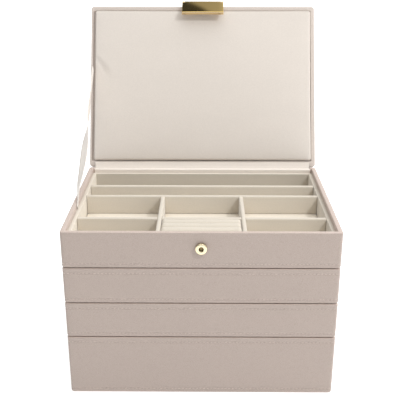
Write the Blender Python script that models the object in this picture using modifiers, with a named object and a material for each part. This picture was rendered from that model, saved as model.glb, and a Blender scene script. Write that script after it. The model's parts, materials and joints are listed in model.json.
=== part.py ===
"""Tiered jewellery box: a deep tier, two trays and a lidded top tray, stacked and nested.

Metres, Z up, the front towards -Y. The origin is the middle of the footprint, on the table.
The lid stands open on its stay ribbon, as it does when the box is in use.
"""

import math

import bmesh
import bpy
from mathutils import Matrix, Vector

# Stack
WIDTH = 0.250
DEPTH = 0.180
DEEP_HEIGHT = 0.0609
TRAY_HEIGHT = 0.0353
TRAYS = 3
GAP = 0.0003

# Wrapped wall frames
WALL = 0.0045
CORNER_RADIUS = 0.0030
WALL_EDGE = 0.0009
CORNER_STEPS = 5

# Base boards, the plinths that nest into the tier below, and the felt under the stack
BASE_BOARD = 0.0030
PLINTH_DROP = 0.0040
PLINTH_CLEARANCE = 0.0006
PLINTH_EDGE = 0.0010
UNDERFELT = 0.0008

# Cream liners, floor pads and dividers
LINER_GAP = 0.0010
LINER_WALL = 0.0025
LINER_RECESS = 0.0050
LINER_EDGE = 0.0008
TRAY_FLOOR = 0.0114
DEEP_FLOOR = 0.0090
FLOOR_EDGE = 0.0008
DIVIDER = 0.0042
DIVIDER_EDGE = 0.0013

# Compartments of the top tray, clear sizes
REAR_LANE = 0.0359
SECOND_LANE = 0.0251
FRONT_ROW = 0.0364
MIDDLE_COLUMN = 0.0748
COLUMN_DIVIDER = 0.0040

# Compartments of the tiers below
UPPER_COLUMNS = 4
LOWER_LANES = 4
DEEP_REAR_LANE = 0.0640

# Ring rolls
RING_ROLLS = 4
ROLL_RISE = 0.0006
ROLL_SIDES = 10
ROLL_DRAW = 0.0012
ROLL_PLAIN_SHARE = 0.80
ROLL_SHARES = (1.0, 0.97, 0.90, 0.80)

# Lid board and its padded lining
LID_OVERHANG = 0.0010
LID_LENGTH = DEPTH + LID_OVERHANG
LID_THICKNESS = 0.0080
LID_OPEN = math.radians(114.6)
PAD_REAR = 0.0074
PAD_CLEARANCE = 0.0004
PAD_EDGE = 0.0030
PAD_CROWN = 0.0009
PAD_ROUND = 0.0018
PAD_COLUMNS = 12
PAD_ROWS = 9
PAD_DRAW = 0.0006
CROWN_POWER = 4
DRAW_POWER = 9

# Fabric hinge: the lining inside and the spine outside
LINING = 0.0006
LINING_INSET = 0.0060
LINING_NOTCH = 0.0016
LINING_ON_LID = 0.0065
LINING_TURN = 0.0014
LINING_REAR = 0.0012
SPINE = 0.0006
SPINE_INSET = 0.0060
SPINE_DROP = 0.0180
SPINE_ON_LID = 0.0072

# Stay ribbon, at the left side
RIBBON_WIDTH = 0.0090
RIBBON = 0.0004
RIBBON_ON_LID = 0.1150
RIBBON_ON_TRAY = 0.1070
RIBBON_TUCK = 0.0080
RIBBON_TWIST = math.radians(22)
RIBBON_STEPS = 16
RIBBON_PLAIN_SHARE = 0.12

# Clasp: leaf on the lid's front edge, pin and hanging flap
CLASP_WIDTH = 0.0460
CLASP_REACH = 0.0055
CLASP_HEIGHT = 0.0030
CLASP_HANG = math.radians(44.5)
BARREL_RADIUS = 0.0015
PIN_RADIUS = 0.0007
LEAF_THICKNESS = 0.0010
LEAF_EDGE = 0.0008
EAR = 0.0020
FLAP_LENGTH = 0.0260
FLAP_THICKNESS = 0.0010
FLAP_LIP = 0.0019
FLAP_SHOULDER = 0.0024
MAGNET_RADIUS = 0.0040
MAGNET_THICKNESS = 0.0020
ROUND_STEPS = 24

# Stud on the front wall
STUD_DROP = 0.0149
STUD_RADIUS = 0.00535
STUD_PROUD = 0.0029
STUD_HOLE = 0.0023
STUD_SHOULDER = 0.0013
STUD_CREST = 0.0042
POST_HEAD = 0.0014
POST_RADIUS = 0.0014
WASHER_RADIUS = 0.0032
WASHER = 0.0004

# Working values
MERGE = 0.00001
OVERRUN = 0.0050
SHARP_ANGLE = math.radians(40)
PLAIN_STEPS = 1
EDGE_STEPS = 2
SOFT_STEPS = 3
ROUND_PROFILE = 0.5

RIM = DEEP_HEIGHT + TRAYS * (TRAY_HEIGHT + GAP)
INNER_X = WIDTH / 2 - WALL
INNER_Y = DEPTH / 2 - WALL
LINER_X = INNER_X - LINER_GAP
LINER_Y = INNER_Y - LINER_GAP
CLEAR_X = LINER_X - LINER_WALL
CLEAR_Y = LINER_Y - LINER_WALL


def start_scene():
    """Empty the file and return the collections for the parts and for the cutters."""
    for old in list(bpy.data.objects):
        bpy.data.objects.remove(old)
    found = []
    for name in ("tiered_jewellery_box", "cutters"):
        collection = bpy.data.collections.new(name)
        bpy.context.scene.collection.children.link(collection)
        found.append(collection)
    return found


PARTS, CUTTERS = start_scene()


def finish(name, colour, roughness, metallic=0.0):
    """A Principled material."""
    made = bpy.data.materials.new(name)
    made.use_nodes = True
    shader = made.node_tree.nodes["Principled BSDF"]
    shader.inputs["Base Color"].default_value = (*colour, 1.0)
    shader.inputs["Roughness"].default_value = roughness
    shader.inputs["Metallic"].default_value = metallic
    made.diffuse_color = (*colour, 1.0)
    return made


TAUPE = finish("taupe_leatherette", (0.49, 0.41, 0.37), 0.62)
CREAM = finish("cream_suedette", (0.78, 0.71, 0.62), 0.9)
BOARD = finish("wrapped_board", (0.44, 0.37, 0.33), 0.7)
FELT = finish("underside_felt", (0.30, 0.26, 0.24), 0.95)
RIBBON_CLOTH = finish("cream_ribbon", (0.85, 0.80, 0.73), 0.6)
GOLD = finish("polished_gold", (0.83, 0.66, 0.38), 0.16, 1.0)
STEEL = finish("dark_steel", (0.16, 0.14, 0.12), 0.35, 1.0)


def frame(name, location, parent=None, turn=0.0):
    """An empty that carries a group of pieces, turned about X."""
    empty = bpy.data.objects.new(name, None)
    empty.location = location
    empty.rotation_euler.x = turn
    empty.parent = parent
    PARTS.objects.link(empty)
    return empty


def place(name, mesh, material, parent):
    """Link a mesh as a named piece of the box."""
    piece = bpy.data.objects.new(name, mesh)
    mesh.materials.clear()
    mesh.materials.append(material)
    piece.parent = parent
    PARTS.objects.link(piece)
    return piece


def hide_as_cutter(piece):
    """Move a piece to the cutters, so it only shapes others."""
    PARTS.objects.unlink(piece)
    CUTTERS.objects.link(piece)
    piece.hide_render = True
    piece.display_type = "WIRE"
    return piece


def round_edges(piece, width, segments=EDGE_STEPS):
    """Round every sharp edge of a piece."""
    bevel = piece.modifiers.new("rounded edges", "BEVEL")
    bevel.width = width
    bevel.segments = segments
    bevel.limit_method = "ANGLE"
    bevel.angle_limit = SHARP_ANGLE


def combine(piece, tool, operation):
    """Cut a tool from a piece, or join it on."""
    change = piece.modifiers.new(operation.lower(), "BOOLEAN")
    change.operation = operation
    change.object = hide_as_cutter(tool)


def add_box(bm, low, high):
    """Add a box between two corners."""
    low, high = Vector(low), Vector(high)
    size = Matrix.Diagonal((*(high - low), 1.0))
    bmesh.ops.create_cube(bm, size=1.0, matrix=Matrix.Translation((low + high) / 2) @ size)


def mesh_from(bm, name, smooth=False):
    """Write a bmesh to a mesh and free it."""
    mesh = bpy.data.meshes.new(name)
    bm.to_mesh(mesh)
    bm.free()
    if smooth:
        mesh.shade_smooth()
        mesh.set_sharp_from_angle(angle=SHARP_ANGLE)
    return mesh


def block(name, low, high, material, parent, edge=0.0):
    """A rectangular piece between two corners."""
    bm = bmesh.new()
    add_box(bm, low, high)
    piece = place(name, mesh_from(bm, name), material, parent)
    if edge:
        round_edges(piece, edge)
    return piece


def arc(centre, radius, start, end, steps):
    """Points of an arc, angles in degrees."""
    points = []
    for step in range(steps + 1):
        angle = math.radians(start + (end - start) * step / steps)
        points.append((centre[0] + radius * math.cos(angle), centre[1] + radius * math.sin(angle)))
    return points


def rounded_rectangle(half_x, half_y, radius):
    """Outline of a rectangle about the origin; radius 0 leaves plain corners."""
    if not radius:
        return [(half_x, half_y), (-half_x, half_y), (-half_x, -half_y), (half_x, -half_y)]
    outline = []
    for index, (side_x, side_y) in enumerate(((1, 1), (-1, 1), (-1, -1), (1, -1))):
        centre = (side_x * (half_x - radius), side_y * (half_y - radius))
        outline += arc(centre, radius, 90 * index, 90 * (index + 1), CORNER_STEPS)
    return outline


TO_WIDTH = Matrix(((0, 0, 1, 0), (1, 0, 0, 0), (0, 1, 0, 0), (0, 0, 0, 1)))


def prism(name, outlines, low, high, material, parent, along_width=False):
    """Flat outlines between two levels of Z, or of X where they are drawn in Y and Z."""
    curve = bpy.data.curves.new(name, "CURVE")
    curve.dimensions = "2D"
    curve.fill_mode = "BOTH"
    curve.extrude = (high - low) / 2
    for outline in outlines:
        spline = curve.splines.new("POLY")
        spline.points.add(len(outline) - 1)
        for point, (first, second) in zip(spline.points, outline):
            point.co = (first, second, 0.0, 1.0)
        spline.use_cyclic_u = True
    drawn = bpy.data.objects.new(name, curve)
    PARTS.objects.link(drawn)
    bpy.context.view_layer.update()
    mesh = bpy.data.meshes.new_from_object(drawn.evaluated_get(bpy.context.evaluated_depsgraph_get()))
    bpy.data.objects.remove(drawn)
    bpy.data.curves.remove(curve)
    bm = bmesh.new()
    bm.from_mesh(mesh)
    bpy.data.meshes.remove(mesh)
    bmesh.ops.remove_doubles(bm, verts=bm.verts, dist=MERGE)
    bmesh.ops.translate(bm, verts=bm.verts, vec=(0.0, 0.0, (low + high) / 2))
    if along_width:
        bmesh.ops.transform(bm, verts=bm.verts, matrix=TO_WIDTH)
    bmesh.ops.recalc_face_normals(bm, faces=bm.faces)
    return place(name, mesh_from(bm, name), material, parent)


def rod(name, radius, low, high, material, parent, turn=None):
    """A cylinder along X between two ends, or along Z before a turn."""
    bm = bmesh.new()
    bmesh.ops.create_cone(bm, cap_ends=True, segments=ROUND_STEPS, radius1=radius, radius2=radius,
                          depth=high - low, matrix=Matrix.Translation((0.0, 0.0, (low + high) / 2)))
    bmesh.ops.transform(bm, verts=bm.verts, matrix=turn or TO_WIDTH)
    return place(name, mesh_from(bm, name, smooth=True), material, parent)


def turned(name, profile, material, parent, location, turn):
    """A profile of radius and height, drawn down its outer side, turned about Z by a Screw."""
    bm = bmesh.new()
    corners = [bm.verts.new((radius, 0.0, height)) for radius, height in profile]
    closed = all(radius > 0 for radius, _ in profile)
    for first, second in zip(corners, corners[1:] + corners[:1] if closed else corners[1:]):
        bm.edges.new((first, second))
    piece = place(name, mesh_from(bm, name), material, parent)
    piece.location = location
    piece.rotation_euler.x = turn
    screw = piece.modifiers.new("turn", "SCREW")
    screw.steps = ROUND_STEPS
    screw.render_steps = ROUND_STEPS
    screw.use_merge_vertices = True
    screw.merge_threshold = MERGE
    screw.use_smooth_shade = True
    return piece


def wall_frame(name, height, parent):
    """The wrapped four-walled frame of one tier."""
    outside = rounded_rectangle(WIDTH / 2, DEPTH / 2, CORNER_RADIUS)
    inside = rounded_rectangle(INNER_X, INNER_Y, 0)
    return prism(name, [outside, inside], 0.0, height, TAUPE, parent)


def liner(name, base_top, height, parent):
    """The cream strip that lines the four walls, below the rim."""
    outlines = [rounded_rectangle(LINER_X, LINER_Y, 0), rounded_rectangle(CLEAR_X, CLEAR_Y, 0)]
    strip = prism(name, outlines, base_top + GAP, height - LINER_RECESS, CREAM, parent)
    round_edges(strip, LINER_EDGE, PLAIN_STEPS)


def floor_pad(name, base_top, level, parent):
    """The soft floor inside the liner."""
    half_x, half_y = CLEAR_X - GAP, CLEAR_Y - GAP
    block(name, (-half_x, -half_y, base_top + GAP), (half_x, half_y, level), CREAM, parent, FLOOR_EDGE)


def divider(name, low, high, floor, height, parent):
    """An upright partition with a rounded top, between two corners in X and Y."""
    bm = bmesh.new()
    top = height - LINER_RECESS
    add_box(bm, (*low, floor + GAP), (*high, top))
    along = 0 if high[0] - low[0] > high[1] - low[1] else 1
    ridges = [edge for edge in bm.edges
              if all(abs(vert.co.z - top) < MERGE for vert in edge.verts)
              and abs(edge.verts[0].co[along] - edge.verts[1].co[along]) > MERGE]
    bmesh.ops.bevel(bm, geom=ridges, offset=DIVIDER_EDGE, segments=SOFT_STEPS, profile=ROUND_PROFILE,
                    affect="EDGES")
    place(name, mesh_from(bm, name), CREAM, parent)


def cross_divider(name, front, floor, height, parent, low_x=-CLEAR_X, high_x=CLEAR_X):
    """A partition across the width, its front face at the given Y."""
    divider(name, (low_x + GAP, front), (high_x - GAP, front + DIVIDER), floor, height, parent)


def column_divider(name, middle, low_y, high_y, thickness, floor, height, parent):
    """A partition from front to back, centred on the given X."""
    low = (middle - thickness / 2, low_y + GAP)
    high = (middle + thickness / 2, high_y - GAP)
    divider(name, low, high, floor, height, parent)


def tray(name, level):
    """Frame, wall frame, base board, plinth, liner and floor of one nesting tray."""
    parent = frame(name + "_frame", (0.0, 0.0, level))
    case = wall_frame(name + "_case", TRAY_HEIGHT, parent)
    half_x, half_y = INNER_X - GAP, INNER_Y - GAP
    base_top = GAP + BASE_BOARD
    block(name + "_base", (-half_x, -half_y, GAP), (half_x, half_y, base_top), BOARD, parent)
    foot_x, foot_y = INNER_X - PLINTH_CLEARANCE, INNER_Y - PLINTH_CLEARANCE
    block(name + "_plinth", (-foot_x, -foot_y, -PLINTH_DROP), (foot_x, foot_y, 0.0), BOARD, parent,
          PLINTH_EDGE)
    liner(name + "_liner", base_top, TRAY_HEIGHT, parent)
    floor_pad(name + "_floor", base_top, TRAY_FLOOR, parent)
    return parent, case


def deep_tier():
    """The lowest tier, on its felt, with a rear lane and two front compartments."""
    parent = frame("deep_frame", (0.0, 0.0, 0.0))
    round_edges(wall_frame("deep_case", DEEP_HEIGHT, parent), WALL_EDGE)
    half_x, half_y = INNER_X - GAP, INNER_Y - GAP
    base_top = UNDERFELT + GAP + BASE_BOARD
    block("deep_underfelt", (-half_x, -half_y, 0.0), (half_x, half_y, UNDERFELT), FELT, parent)
    block("deep_base", (-half_x, -half_y, UNDERFELT + GAP), (half_x, half_y, base_top), BOARD, parent)
    liner("deep_liner", base_top, DEEP_HEIGHT, parent)
    floor_pad("deep_floor", base_top, DEEP_FLOOR, parent)
    front = CLEAR_Y - DEEP_REAR_LANE - DIVIDER
    cross_divider("deep_cross_divider", front, DEEP_FLOOR, DEEP_HEIGHT, parent)
    column_divider("deep_column_divider", 0.0, -CLEAR_Y, front, DIVIDER, DEEP_FLOOR, DEEP_HEIGHT, parent)


def lower_tray(level):
    """A tray of equal lanes across the width."""
    parent, case = tray("lower", level)
    round_edges(case, WALL_EDGE)
    pitch = (2 * CLEAR_Y + DIVIDER) / LOWER_LANES
    for lane in range(1, LOWER_LANES):
        front = -CLEAR_Y + lane * pitch - DIVIDER
        cross_divider(f"lower_lane_divider_{lane}", front, TRAY_FLOOR, TRAY_HEIGHT, parent)


def upper_tray(level):
    """A tray of two rows of small compartments."""
    parent, case = tray("upper", level)
    round_edges(case, WALL_EDGE)
    front = -DIVIDER / 2
    cross_divider("upper_cross_divider", front, TRAY_FLOOR, TRAY_HEIGHT, parent)
    pitch = (2 * CLEAR_X + DIVIDER) / UPPER_COLUMNS
    for column in range(1, UPPER_COLUMNS):
        middle = -CLEAR_X + column * pitch - DIVIDER / 2
        for row, low, high in (("front", -CLEAR_Y, front), ("rear", front + DIVIDER, CLEAR_Y)):
            column_divider(f"upper_{row}_divider_{column}", middle, low, high, DIVIDER,
                           TRAY_FLOOR, TRAY_HEIGHT, parent)


def ring_roll(name, low_x, high_x, front, width, bottom, top, parent):
    """A padded roll along the width: round on top, upright below, its ends drawn in."""
    radius = width / 2
    outline = arc((front + radius, top - radius), radius, 0, 180, ROLL_SIDES)
    outline += [(front, bottom), (front + width, bottom)]
    roll = prism(name, [outline], low_x, high_x, CREAM, parent, along_width=True)
    bm = bmesh.new()
    bm.from_mesh(roll.data)
    long_edges = [edge for edge in bm.edges if abs(edge.verts[0].co.x - edge.verts[1].co.x) > MERGE]
    bmesh.ops.subdivide_edges(bm, edges=long_edges, cuts=len(ROLL_SHARES) * 2 - 2)
    middle, half = (low_x + high_x) / 2, (high_x - low_x) / 2
    shares = [-share for share in ROLL_SHARES] + [share for share in reversed(ROLL_SHARES)]
    for vert in bm.verts:
        ring = round((vert.co.x - low_x) / (high_x - low_x) * (len(shares) - 1))
        inset = ROLL_DRAW * (max(0.0, abs(shares[ring]) - ROLL_PLAIN_SHARE) / (1 - ROLL_PLAIN_SHARE)) ** 2
        vert.co.x = middle + half * shares[ring]
        vert.co.y -= (vert.co.y - front - radius) * inset / radius
        vert.co.z -= (vert.co.z - bottom) * inset / (top - bottom)
    bm.to_mesh(roll.data)
    bm.free()
    roll.data.shade_smooth()
    roll.data.set_sharp_from_angle(angle=SHARP_ANGLE)


def top_tray(level):
    """The lidded tray: two long lanes, a row of three, and a front row with ring rolls between."""
    parent, case = tray("top", level)
    notch_x = WIDTH / 2 - LINING_INSET
    notch = block("hinge_notch", (-notch_x, INNER_Y - OVERRUN, TRAY_HEIGHT - LINING_NOTCH),
                  (notch_x, DEPTH / 2 + OVERRUN, TRAY_HEIGHT + OVERRUN), TAUPE, parent)
    combine(case, notch, "DIFFERENCE")
    round_edges(case, WALL_EDGE)
    stud_level = TRAY_HEIGHT - STUD_DROP
    hole = rod("stud_bore", POST_RADIUS + GAP, -WALL, WALL, STEEL, parent,
               Matrix.Rotation(math.pi / 2, 4, "X"))
    hole.location = (0.0, -DEPTH / 2 + WALL / 2, stud_level)
    combine(case, hole, "DIFFERENCE")

    rear = CLEAR_Y - REAR_LANE - DIVIDER
    middle = rear - SECOND_LANE - DIVIDER
    front = -CLEAR_Y + FRONT_ROW
    cross_divider("top_rear_divider", rear, TRAY_FLOOR, TRAY_HEIGHT, parent)
    cross_divider("top_middle_divider", middle, TRAY_FLOOR, TRAY_HEIGHT, parent)
    column = MIDDLE_COLUMN / 2 + COLUMN_DIVIDER / 2
    for side, name in ((-1, "left"), (1, "right")):
        column_divider(f"top_{name}_column_divider", side * column, -CLEAR_Y, middle, COLUMN_DIVIDER,
                       TRAY_FLOOR, TRAY_HEIGHT, parent)
    inner, outer = MIDDLE_COLUMN / 2, MIDDLE_COLUMN / 2 + COLUMN_DIVIDER
    for name, low, high in (("left", -CLEAR_X, -outer), ("middle", -inner, inner), ("right", outer, CLEAR_X)):
        cross_divider(f"top_front_{name}_divider", front, TRAY_FLOOR, TRAY_HEIGHT, parent, low, high)

    pitch = FRONT_ROW / RING_ROLLS
    for roll in range(RING_ROLLS):
        ring_roll(f"ring_roll_{roll + 1}", -inner + GAP, inner - GAP, -CLEAR_Y + roll * pitch + GAP / 2,
                  pitch - GAP, TRAY_FLOOR + GAP, TRAY_HEIGHT - LINER_RECESS + ROLL_RISE, parent)
    stud(stud_level, parent)


def stud(level, parent):
    """Gold eyelet with a dark post through the front wall, and its washer inside."""
    turn = math.pi / 2
    face = (0.0, -DEPTH / 2 - GAP, level)
    dish = STUD_PROUD - STUD_SHOULDER
    ring = [(STUD_HOLE, STUD_PROUD - dish / 2), (STUD_HOLE + (STUD_CREST - STUD_HOLE) / 2, STUD_PROUD),
            (STUD_CREST, STUD_PROUD), (STUD_RADIUS, STUD_SHOULDER), (STUD_RADIUS, 0.0), (STUD_HOLE, 0.0)]
    turned("stud_ring", ring, GOLD, parent, face, turn)
    shank = WALL + 2 * GAP + WASHER
    head = STUD_HOLE - GAP
    post = [(0.0, POST_HEAD), (head - POST_RADIUS / 2, POST_HEAD), (head, POST_HEAD - POST_RADIUS / 2),
            (head, 0.0), (POST_RADIUS, 0.0), (POST_RADIUS, -shank), (0.0, -shank)]
    turned("stud_post", post, STEEL, parent, face, turn)
    bore = POST_RADIUS + GAP
    washer = [(bore, WASHER), (WASHER_RADIUS, WASHER), (WASHER_RADIUS, 0.0), (bore, 0.0)]
    turned("stud_washer", washer, STEEL, parent, (0.0, -INNER_Y + GAP + WASHER, level), turn)


def lid_pad(axis):
    """The cream padded lining: crowned, its sides drawn in between the corners."""
    half_x = LINER_X - GAP
    front = DEPTH + GAP - WALL - PAD_CLEARANCE
    half_y = (front - PAD_REAR) / 2
    bm = bmesh.new()
    bmesh.ops.create_grid(bm, x_segments=PAD_COLUMNS, y_segments=PAD_ROWS, size=1.0,
                          matrix=Matrix.Diagonal((half_x, half_y, 1.0, 1.0)))
    sheet = bm.faces[:]
    raised = bmesh.ops.extrude_face_region(bm, geom=sheet)["geom"]
    raised = [item for item in raised if isinstance(item, bmesh.types.BMVert)]
    for vert in raised:
        crown = (1 - (vert.co.x / half_x) ** CROWN_POWER) * (1 - (vert.co.y / half_y) ** CROWN_POWER)
        vert.co.z = -(PAD_EDGE + PAD_CROWN * crown)
    for vert in bm.verts:
        across, along = vert.co.x / half_x, vert.co.y / half_y
        vert.co.x -= PAD_DRAW * across ** DRAW_POWER * (1 - along * along)
        vert.co.y -= PAD_DRAW * along ** DRAW_POWER * (1 - across * across)
    bmesh.ops.translate(bm, verts=bm.verts, vec=(0.0, -(front + PAD_REAR) / 2, -GAP / 2))
    bmesh.ops.recalc_face_normals(bm, faces=bm.faces)
    pad = place("lid_pad", mesh_from(bm, "lid_pad", smooth=True), CREAM, axis)
    round_edges(pad, PAD_ROUND, SOFT_STEPS)


def lid(axis):
    """Lid board and pad, drawn closed on the hinge axis, which turns them open."""
    outline = rounded_rectangle(WIDTH / 2, (LID_LENGTH - GAP) / 2, CORNER_RADIUS)
    middle = -(LID_LENGTH + GAP) / 2
    outline = [(across, along + middle) for across, along in outline]
    board = prism("lid_board", [outline], GAP / 2, GAP / 2 + LID_THICKNESS, TAUPE, axis)
    round_edges(board, WALL_EDGE)
    lid_pad(axis)


def strip_outline(path, thickness):
    """Outline of a strip of even thickness about a bent path, with mitred bends."""
    sides = ([], [])
    for index, point in enumerate(path):
        before = (point - path[index - 1]).normalized() if index else None
        after = (path[index + 1] - point).normalized() if index < len(path) - 1 else None
        before, after = before or after, after or before
        normal = Vector((-before.y - after.y, before.x + after.x)).normalized()
        reach = thickness / 2 / max(normal.dot(Vector((-before.y, before.x))), MERGE)
        sides[0].append(tuple(point + normal * reach))
        sides[1].append(tuple(point - normal * reach))
    return sides[0] + sides[1][::-1]


def hinge_cloth(axis):
    """The lining over the rear rim and the spine behind it, drawn with the lid open."""
    def on_lid(from_axis, below_face):
        """Y and Z of a point of the open lid, by its distance from the axis and under the inner face."""
        turned_point = Matrix.Rotation(-LID_OPEN, 3, "X") @ Vector((0.0, -from_axis, -below_face))
        return Vector(((axis.location + turned_point).y, (axis.location + turned_point).z))

    half_sheet = LINING / 2
    level = RIM - LINING_NOTCH + GAP + half_sheet
    drop = INNER_Y - GAP - half_sheet
    path = [on_lid(LINING_ON_LID, GAP / 2 + half_sheet), on_lid(LINING_TURN, GAP / 2 + half_sheet),
            Vector((DEPTH / 2 - LINING_REAR, level)), Vector((drop, level)),
            Vector((drop, RIM - LINER_RECESS + 2 * GAP))]
    half_x = WIDTH / 2 - LINING_INSET - GAP
    prism("hinge_lining", [strip_outline(path, LINING)], -half_x, half_x, CREAM, None, along_width=True)

    behind = DEPTH / 2 + GAP
    lower = RIM - SPINE_DROP
    end = on_lid(0.0, -SPINE_ON_LID)
    end_outer = on_lid(-SPINE, -SPINE_ON_LID)
    fold = (behind + SPINE, axis.location.z - SPINE * math.tan(LID_OPEN / 2))
    outline = [(behind, lower), (behind, axis.location.z), end, end_outer, fold, (behind + SPINE, lower)]
    half_x = WIDTH / 2 - SPINE_INSET
    prism("hinge_spine", [outline], -half_x, half_x, TAUPE, None, along_width=True)


def stay_ribbon(axis):
    """A flat ribbon from the slit beside the liner to the lid, turned a little on its way.

    Its square upper end is set back from the lid until its corner just meets the inner face.
    """
    side = -(INNER_X - LINER_GAP / 2)
    turn = Matrix.Rotation(-LID_OPEN, 3, "X")
    lid_face = GAP / 2 + RIBBON
    upper = axis.location + turn @ Vector((side, -RIBBON_ON_LID, -lid_face))
    mouth = Vector((side, axis.location.y - RIBBON_ON_TRAY, RIM))
    along = (upper - mouth).normalized()
    lower = mouth - along * RIBBON_TUCK
    across = Vector((1.0, 0.0, 0.0)).cross(along)
    lid_way, lid_normal = turn @ Vector((0.0, -1.0, 0.0)), turn @ Vector((0.0, 0.0, -1.0))
    set_back = RIBBON_WIDTH / 2 * abs(lid_way.dot(along) / lid_normal.dot(along))
    bm = bmesh.new()
    bmesh.ops.create_grid(bm, x_segments=1, y_segments=RIBBON_STEPS, size=0.5)
    length = (upper - lower).length - set_back
    for vert in bm.verts:
        share = vert.co.y + 0.5
        inside = (share - RIBBON_PLAIN_SHARE) / (1 - 2 * RIBBON_PLAIN_SHARE)
        angle = RIBBON_TWIST * math.sin(math.pi * min(1.0, max(0.0, inside))) ** 2
        offset = vert.co.x * RIBBON_WIDTH
        facing = across * math.cos(angle) + Vector((math.sin(angle), 0.0, 0.0))
        vert.co = lower + along * length * share + facing * offset
    mesh = mesh_from(bm, "stay_ribbon")
    ribbon = place("stay_ribbon", mesh, RIBBON_CLOTH, None)
    cloth = ribbon.modifiers.new("cloth", "SOLIDIFY")
    cloth.thickness = RIBBON
    cloth.offset = 0.0


def clasp_leaf(axis, pin_y, pin_z):
    """Plate on the lid's front edge with two ears that hold the pin."""
    half_x = CLASP_WIDTH / 2
    back = -LID_LENGTH - GAP
    leaf = block("clasp_leaf", (-half_x, back - LEAF_THICKNESS, GAP / 2 + LEAF_EDGE),
                 (half_x, back, GAP / 2 + LID_THICKNESS - LEAF_EDGE), GOLD, axis)
    root = back - LEAF_THICKNESS / 2
    outline = [(root, pin_z - BARREL_RADIUS)]
    outline += arc((pin_y, pin_z), BARREL_RADIUS, 270, 90, ROUND_STEPS // 2)
    outline += [(root, pin_z + BARREL_RADIUS)]
    for side, low in (("left", -half_x), ("right", half_x - EAR)):
        combine(leaf, prism(f"{side}_ear", [outline], low, low + EAR, GOLD, axis, along_width=True), "UNION")
    bore = rod("leaf_bore", PIN_RADIUS + GAP, -half_x - OVERRUN, half_x + OVERRUN, GOLD, axis)
    bore.location = (0.0, pin_y, pin_z)
    combine(leaf, bore, "DIFFERENCE")


def clasp(axis):
    """The gold clasp: leaf, pin, flap and the magnet on the flap's inner face."""
    pin_y, pin_z = -(LID_LENGTH + CLASP_REACH), GAP / 2 + CLASP_HEIGHT
    clasp_leaf(axis, pin_y, pin_z)
    hang = frame("clasp_axis", (0.0, pin_y, pin_z), axis, CLASP_HANG)
    half_x = CLASP_WIDTH / 2
    rod("clasp_pin", PIN_RADIUS, -half_x, half_x, STEEL, hang)

    outer, inner = -BARREL_RADIUS, FLAP_THICKNESS - BARREL_RADIUS
    outline = [(outer, 0.0), (inner, 0.0), (inner, FLAP_THICKNESS - FLAP_LENGTH),
               (inner + FLAP_LIP, FLAP_THICKNESS - FLAP_LENGTH), (inner + FLAP_LIP, -FLAP_LENGTH),
               (outer, -FLAP_LENGTH)]
    flap = prism("clasp_flap", [outline], -half_x, half_x, GOLD, hang, along_width=True)
    barrel_x = half_x - EAR - GAP
    for side, low in (("left", -half_x - OVERRUN), ("right", barrel_x)):
        notch = block(f"{side}_ear_notch", (low, -OVERRUN, -FLAP_SHOULDER),
                      (low + half_x - barrel_x + OVERRUN, OVERRUN, OVERRUN), GOLD, hang)
        combine(flap, notch, "DIFFERENCE")
    combine(flap, rod("flap_barrel", BARREL_RADIUS, -barrel_x, barrel_x, GOLD, hang), "UNION")
    combine(flap, rod("flap_bore", PIN_RADIUS + GAP, -half_x, half_x, GOLD, hang), "DIFFERENCE")

    below = STUD_DROP + GAP + CLASP_HEIGHT
    magnet = rod("clasp_magnet", MAGNET_RADIUS, 0.0, MAGNET_THICKNESS, STEEL, hang,
                 Matrix.Rotation(-math.pi / 2, 4, "X"))
    magnet.location = (0.0, inner + GAP, -below)


def main():
    """Build the stack from the table up, then the lid and what it carries."""
    deep_tier()
    level = DEEP_HEIGHT + GAP
    for build_tray in (lower_tray, upper_tray, top_tray):
        build_tray(level)
        level += TRAY_HEIGHT + GAP
    axis = frame("lid_axis", (0.0, DEPTH / 2 + GAP, RIM + GAP / 2), turn=-LID_OPEN)
    lid(axis)
    hinge_cloth(axis)
    stay_ribbon(axis)
    clasp(axis)
    bpy.context.view_layer.update()


main()
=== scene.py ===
"""Looks of a tiered jewellery box, laid out as a Blender add-on and run as a script.

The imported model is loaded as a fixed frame, and every piece is a surface worked out with numpy in
that frame: metres, X to the right, Y to the back, Z up. What the lid carries is worked out with the
lid shut and then turned open about the hinge, and the clasp with its flap hanging upright.
"""
import functools
import json
import math

import bmesh
import bpy
import numpy as np
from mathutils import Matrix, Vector


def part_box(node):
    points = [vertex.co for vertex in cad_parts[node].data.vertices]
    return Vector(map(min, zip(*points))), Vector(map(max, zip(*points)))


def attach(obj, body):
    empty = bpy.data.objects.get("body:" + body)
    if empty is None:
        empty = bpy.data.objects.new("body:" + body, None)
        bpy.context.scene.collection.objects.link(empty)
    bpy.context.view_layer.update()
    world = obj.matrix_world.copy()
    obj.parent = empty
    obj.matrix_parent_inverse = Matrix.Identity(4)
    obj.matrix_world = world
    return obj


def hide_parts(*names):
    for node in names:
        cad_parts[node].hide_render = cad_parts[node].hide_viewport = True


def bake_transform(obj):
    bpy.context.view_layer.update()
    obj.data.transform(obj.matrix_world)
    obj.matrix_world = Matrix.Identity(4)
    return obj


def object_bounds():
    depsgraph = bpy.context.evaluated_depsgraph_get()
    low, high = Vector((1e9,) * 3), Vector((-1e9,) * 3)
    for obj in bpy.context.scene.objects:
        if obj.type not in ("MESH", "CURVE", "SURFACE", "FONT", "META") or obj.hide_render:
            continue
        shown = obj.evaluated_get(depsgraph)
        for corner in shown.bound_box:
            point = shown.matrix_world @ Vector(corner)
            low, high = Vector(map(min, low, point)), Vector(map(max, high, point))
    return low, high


bl_info = {
    "name": "Tiered Jewellery Box",
    "version": (1, 0, 0),
    "blender": (4, 5, 0),
    "location": "3D View > Sidebar > Jewellery Box",
    "description": "Dresses the packed jewellery box in leatherette, lining cloth, ribbon and gold",
    "category": "Object",
}

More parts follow.
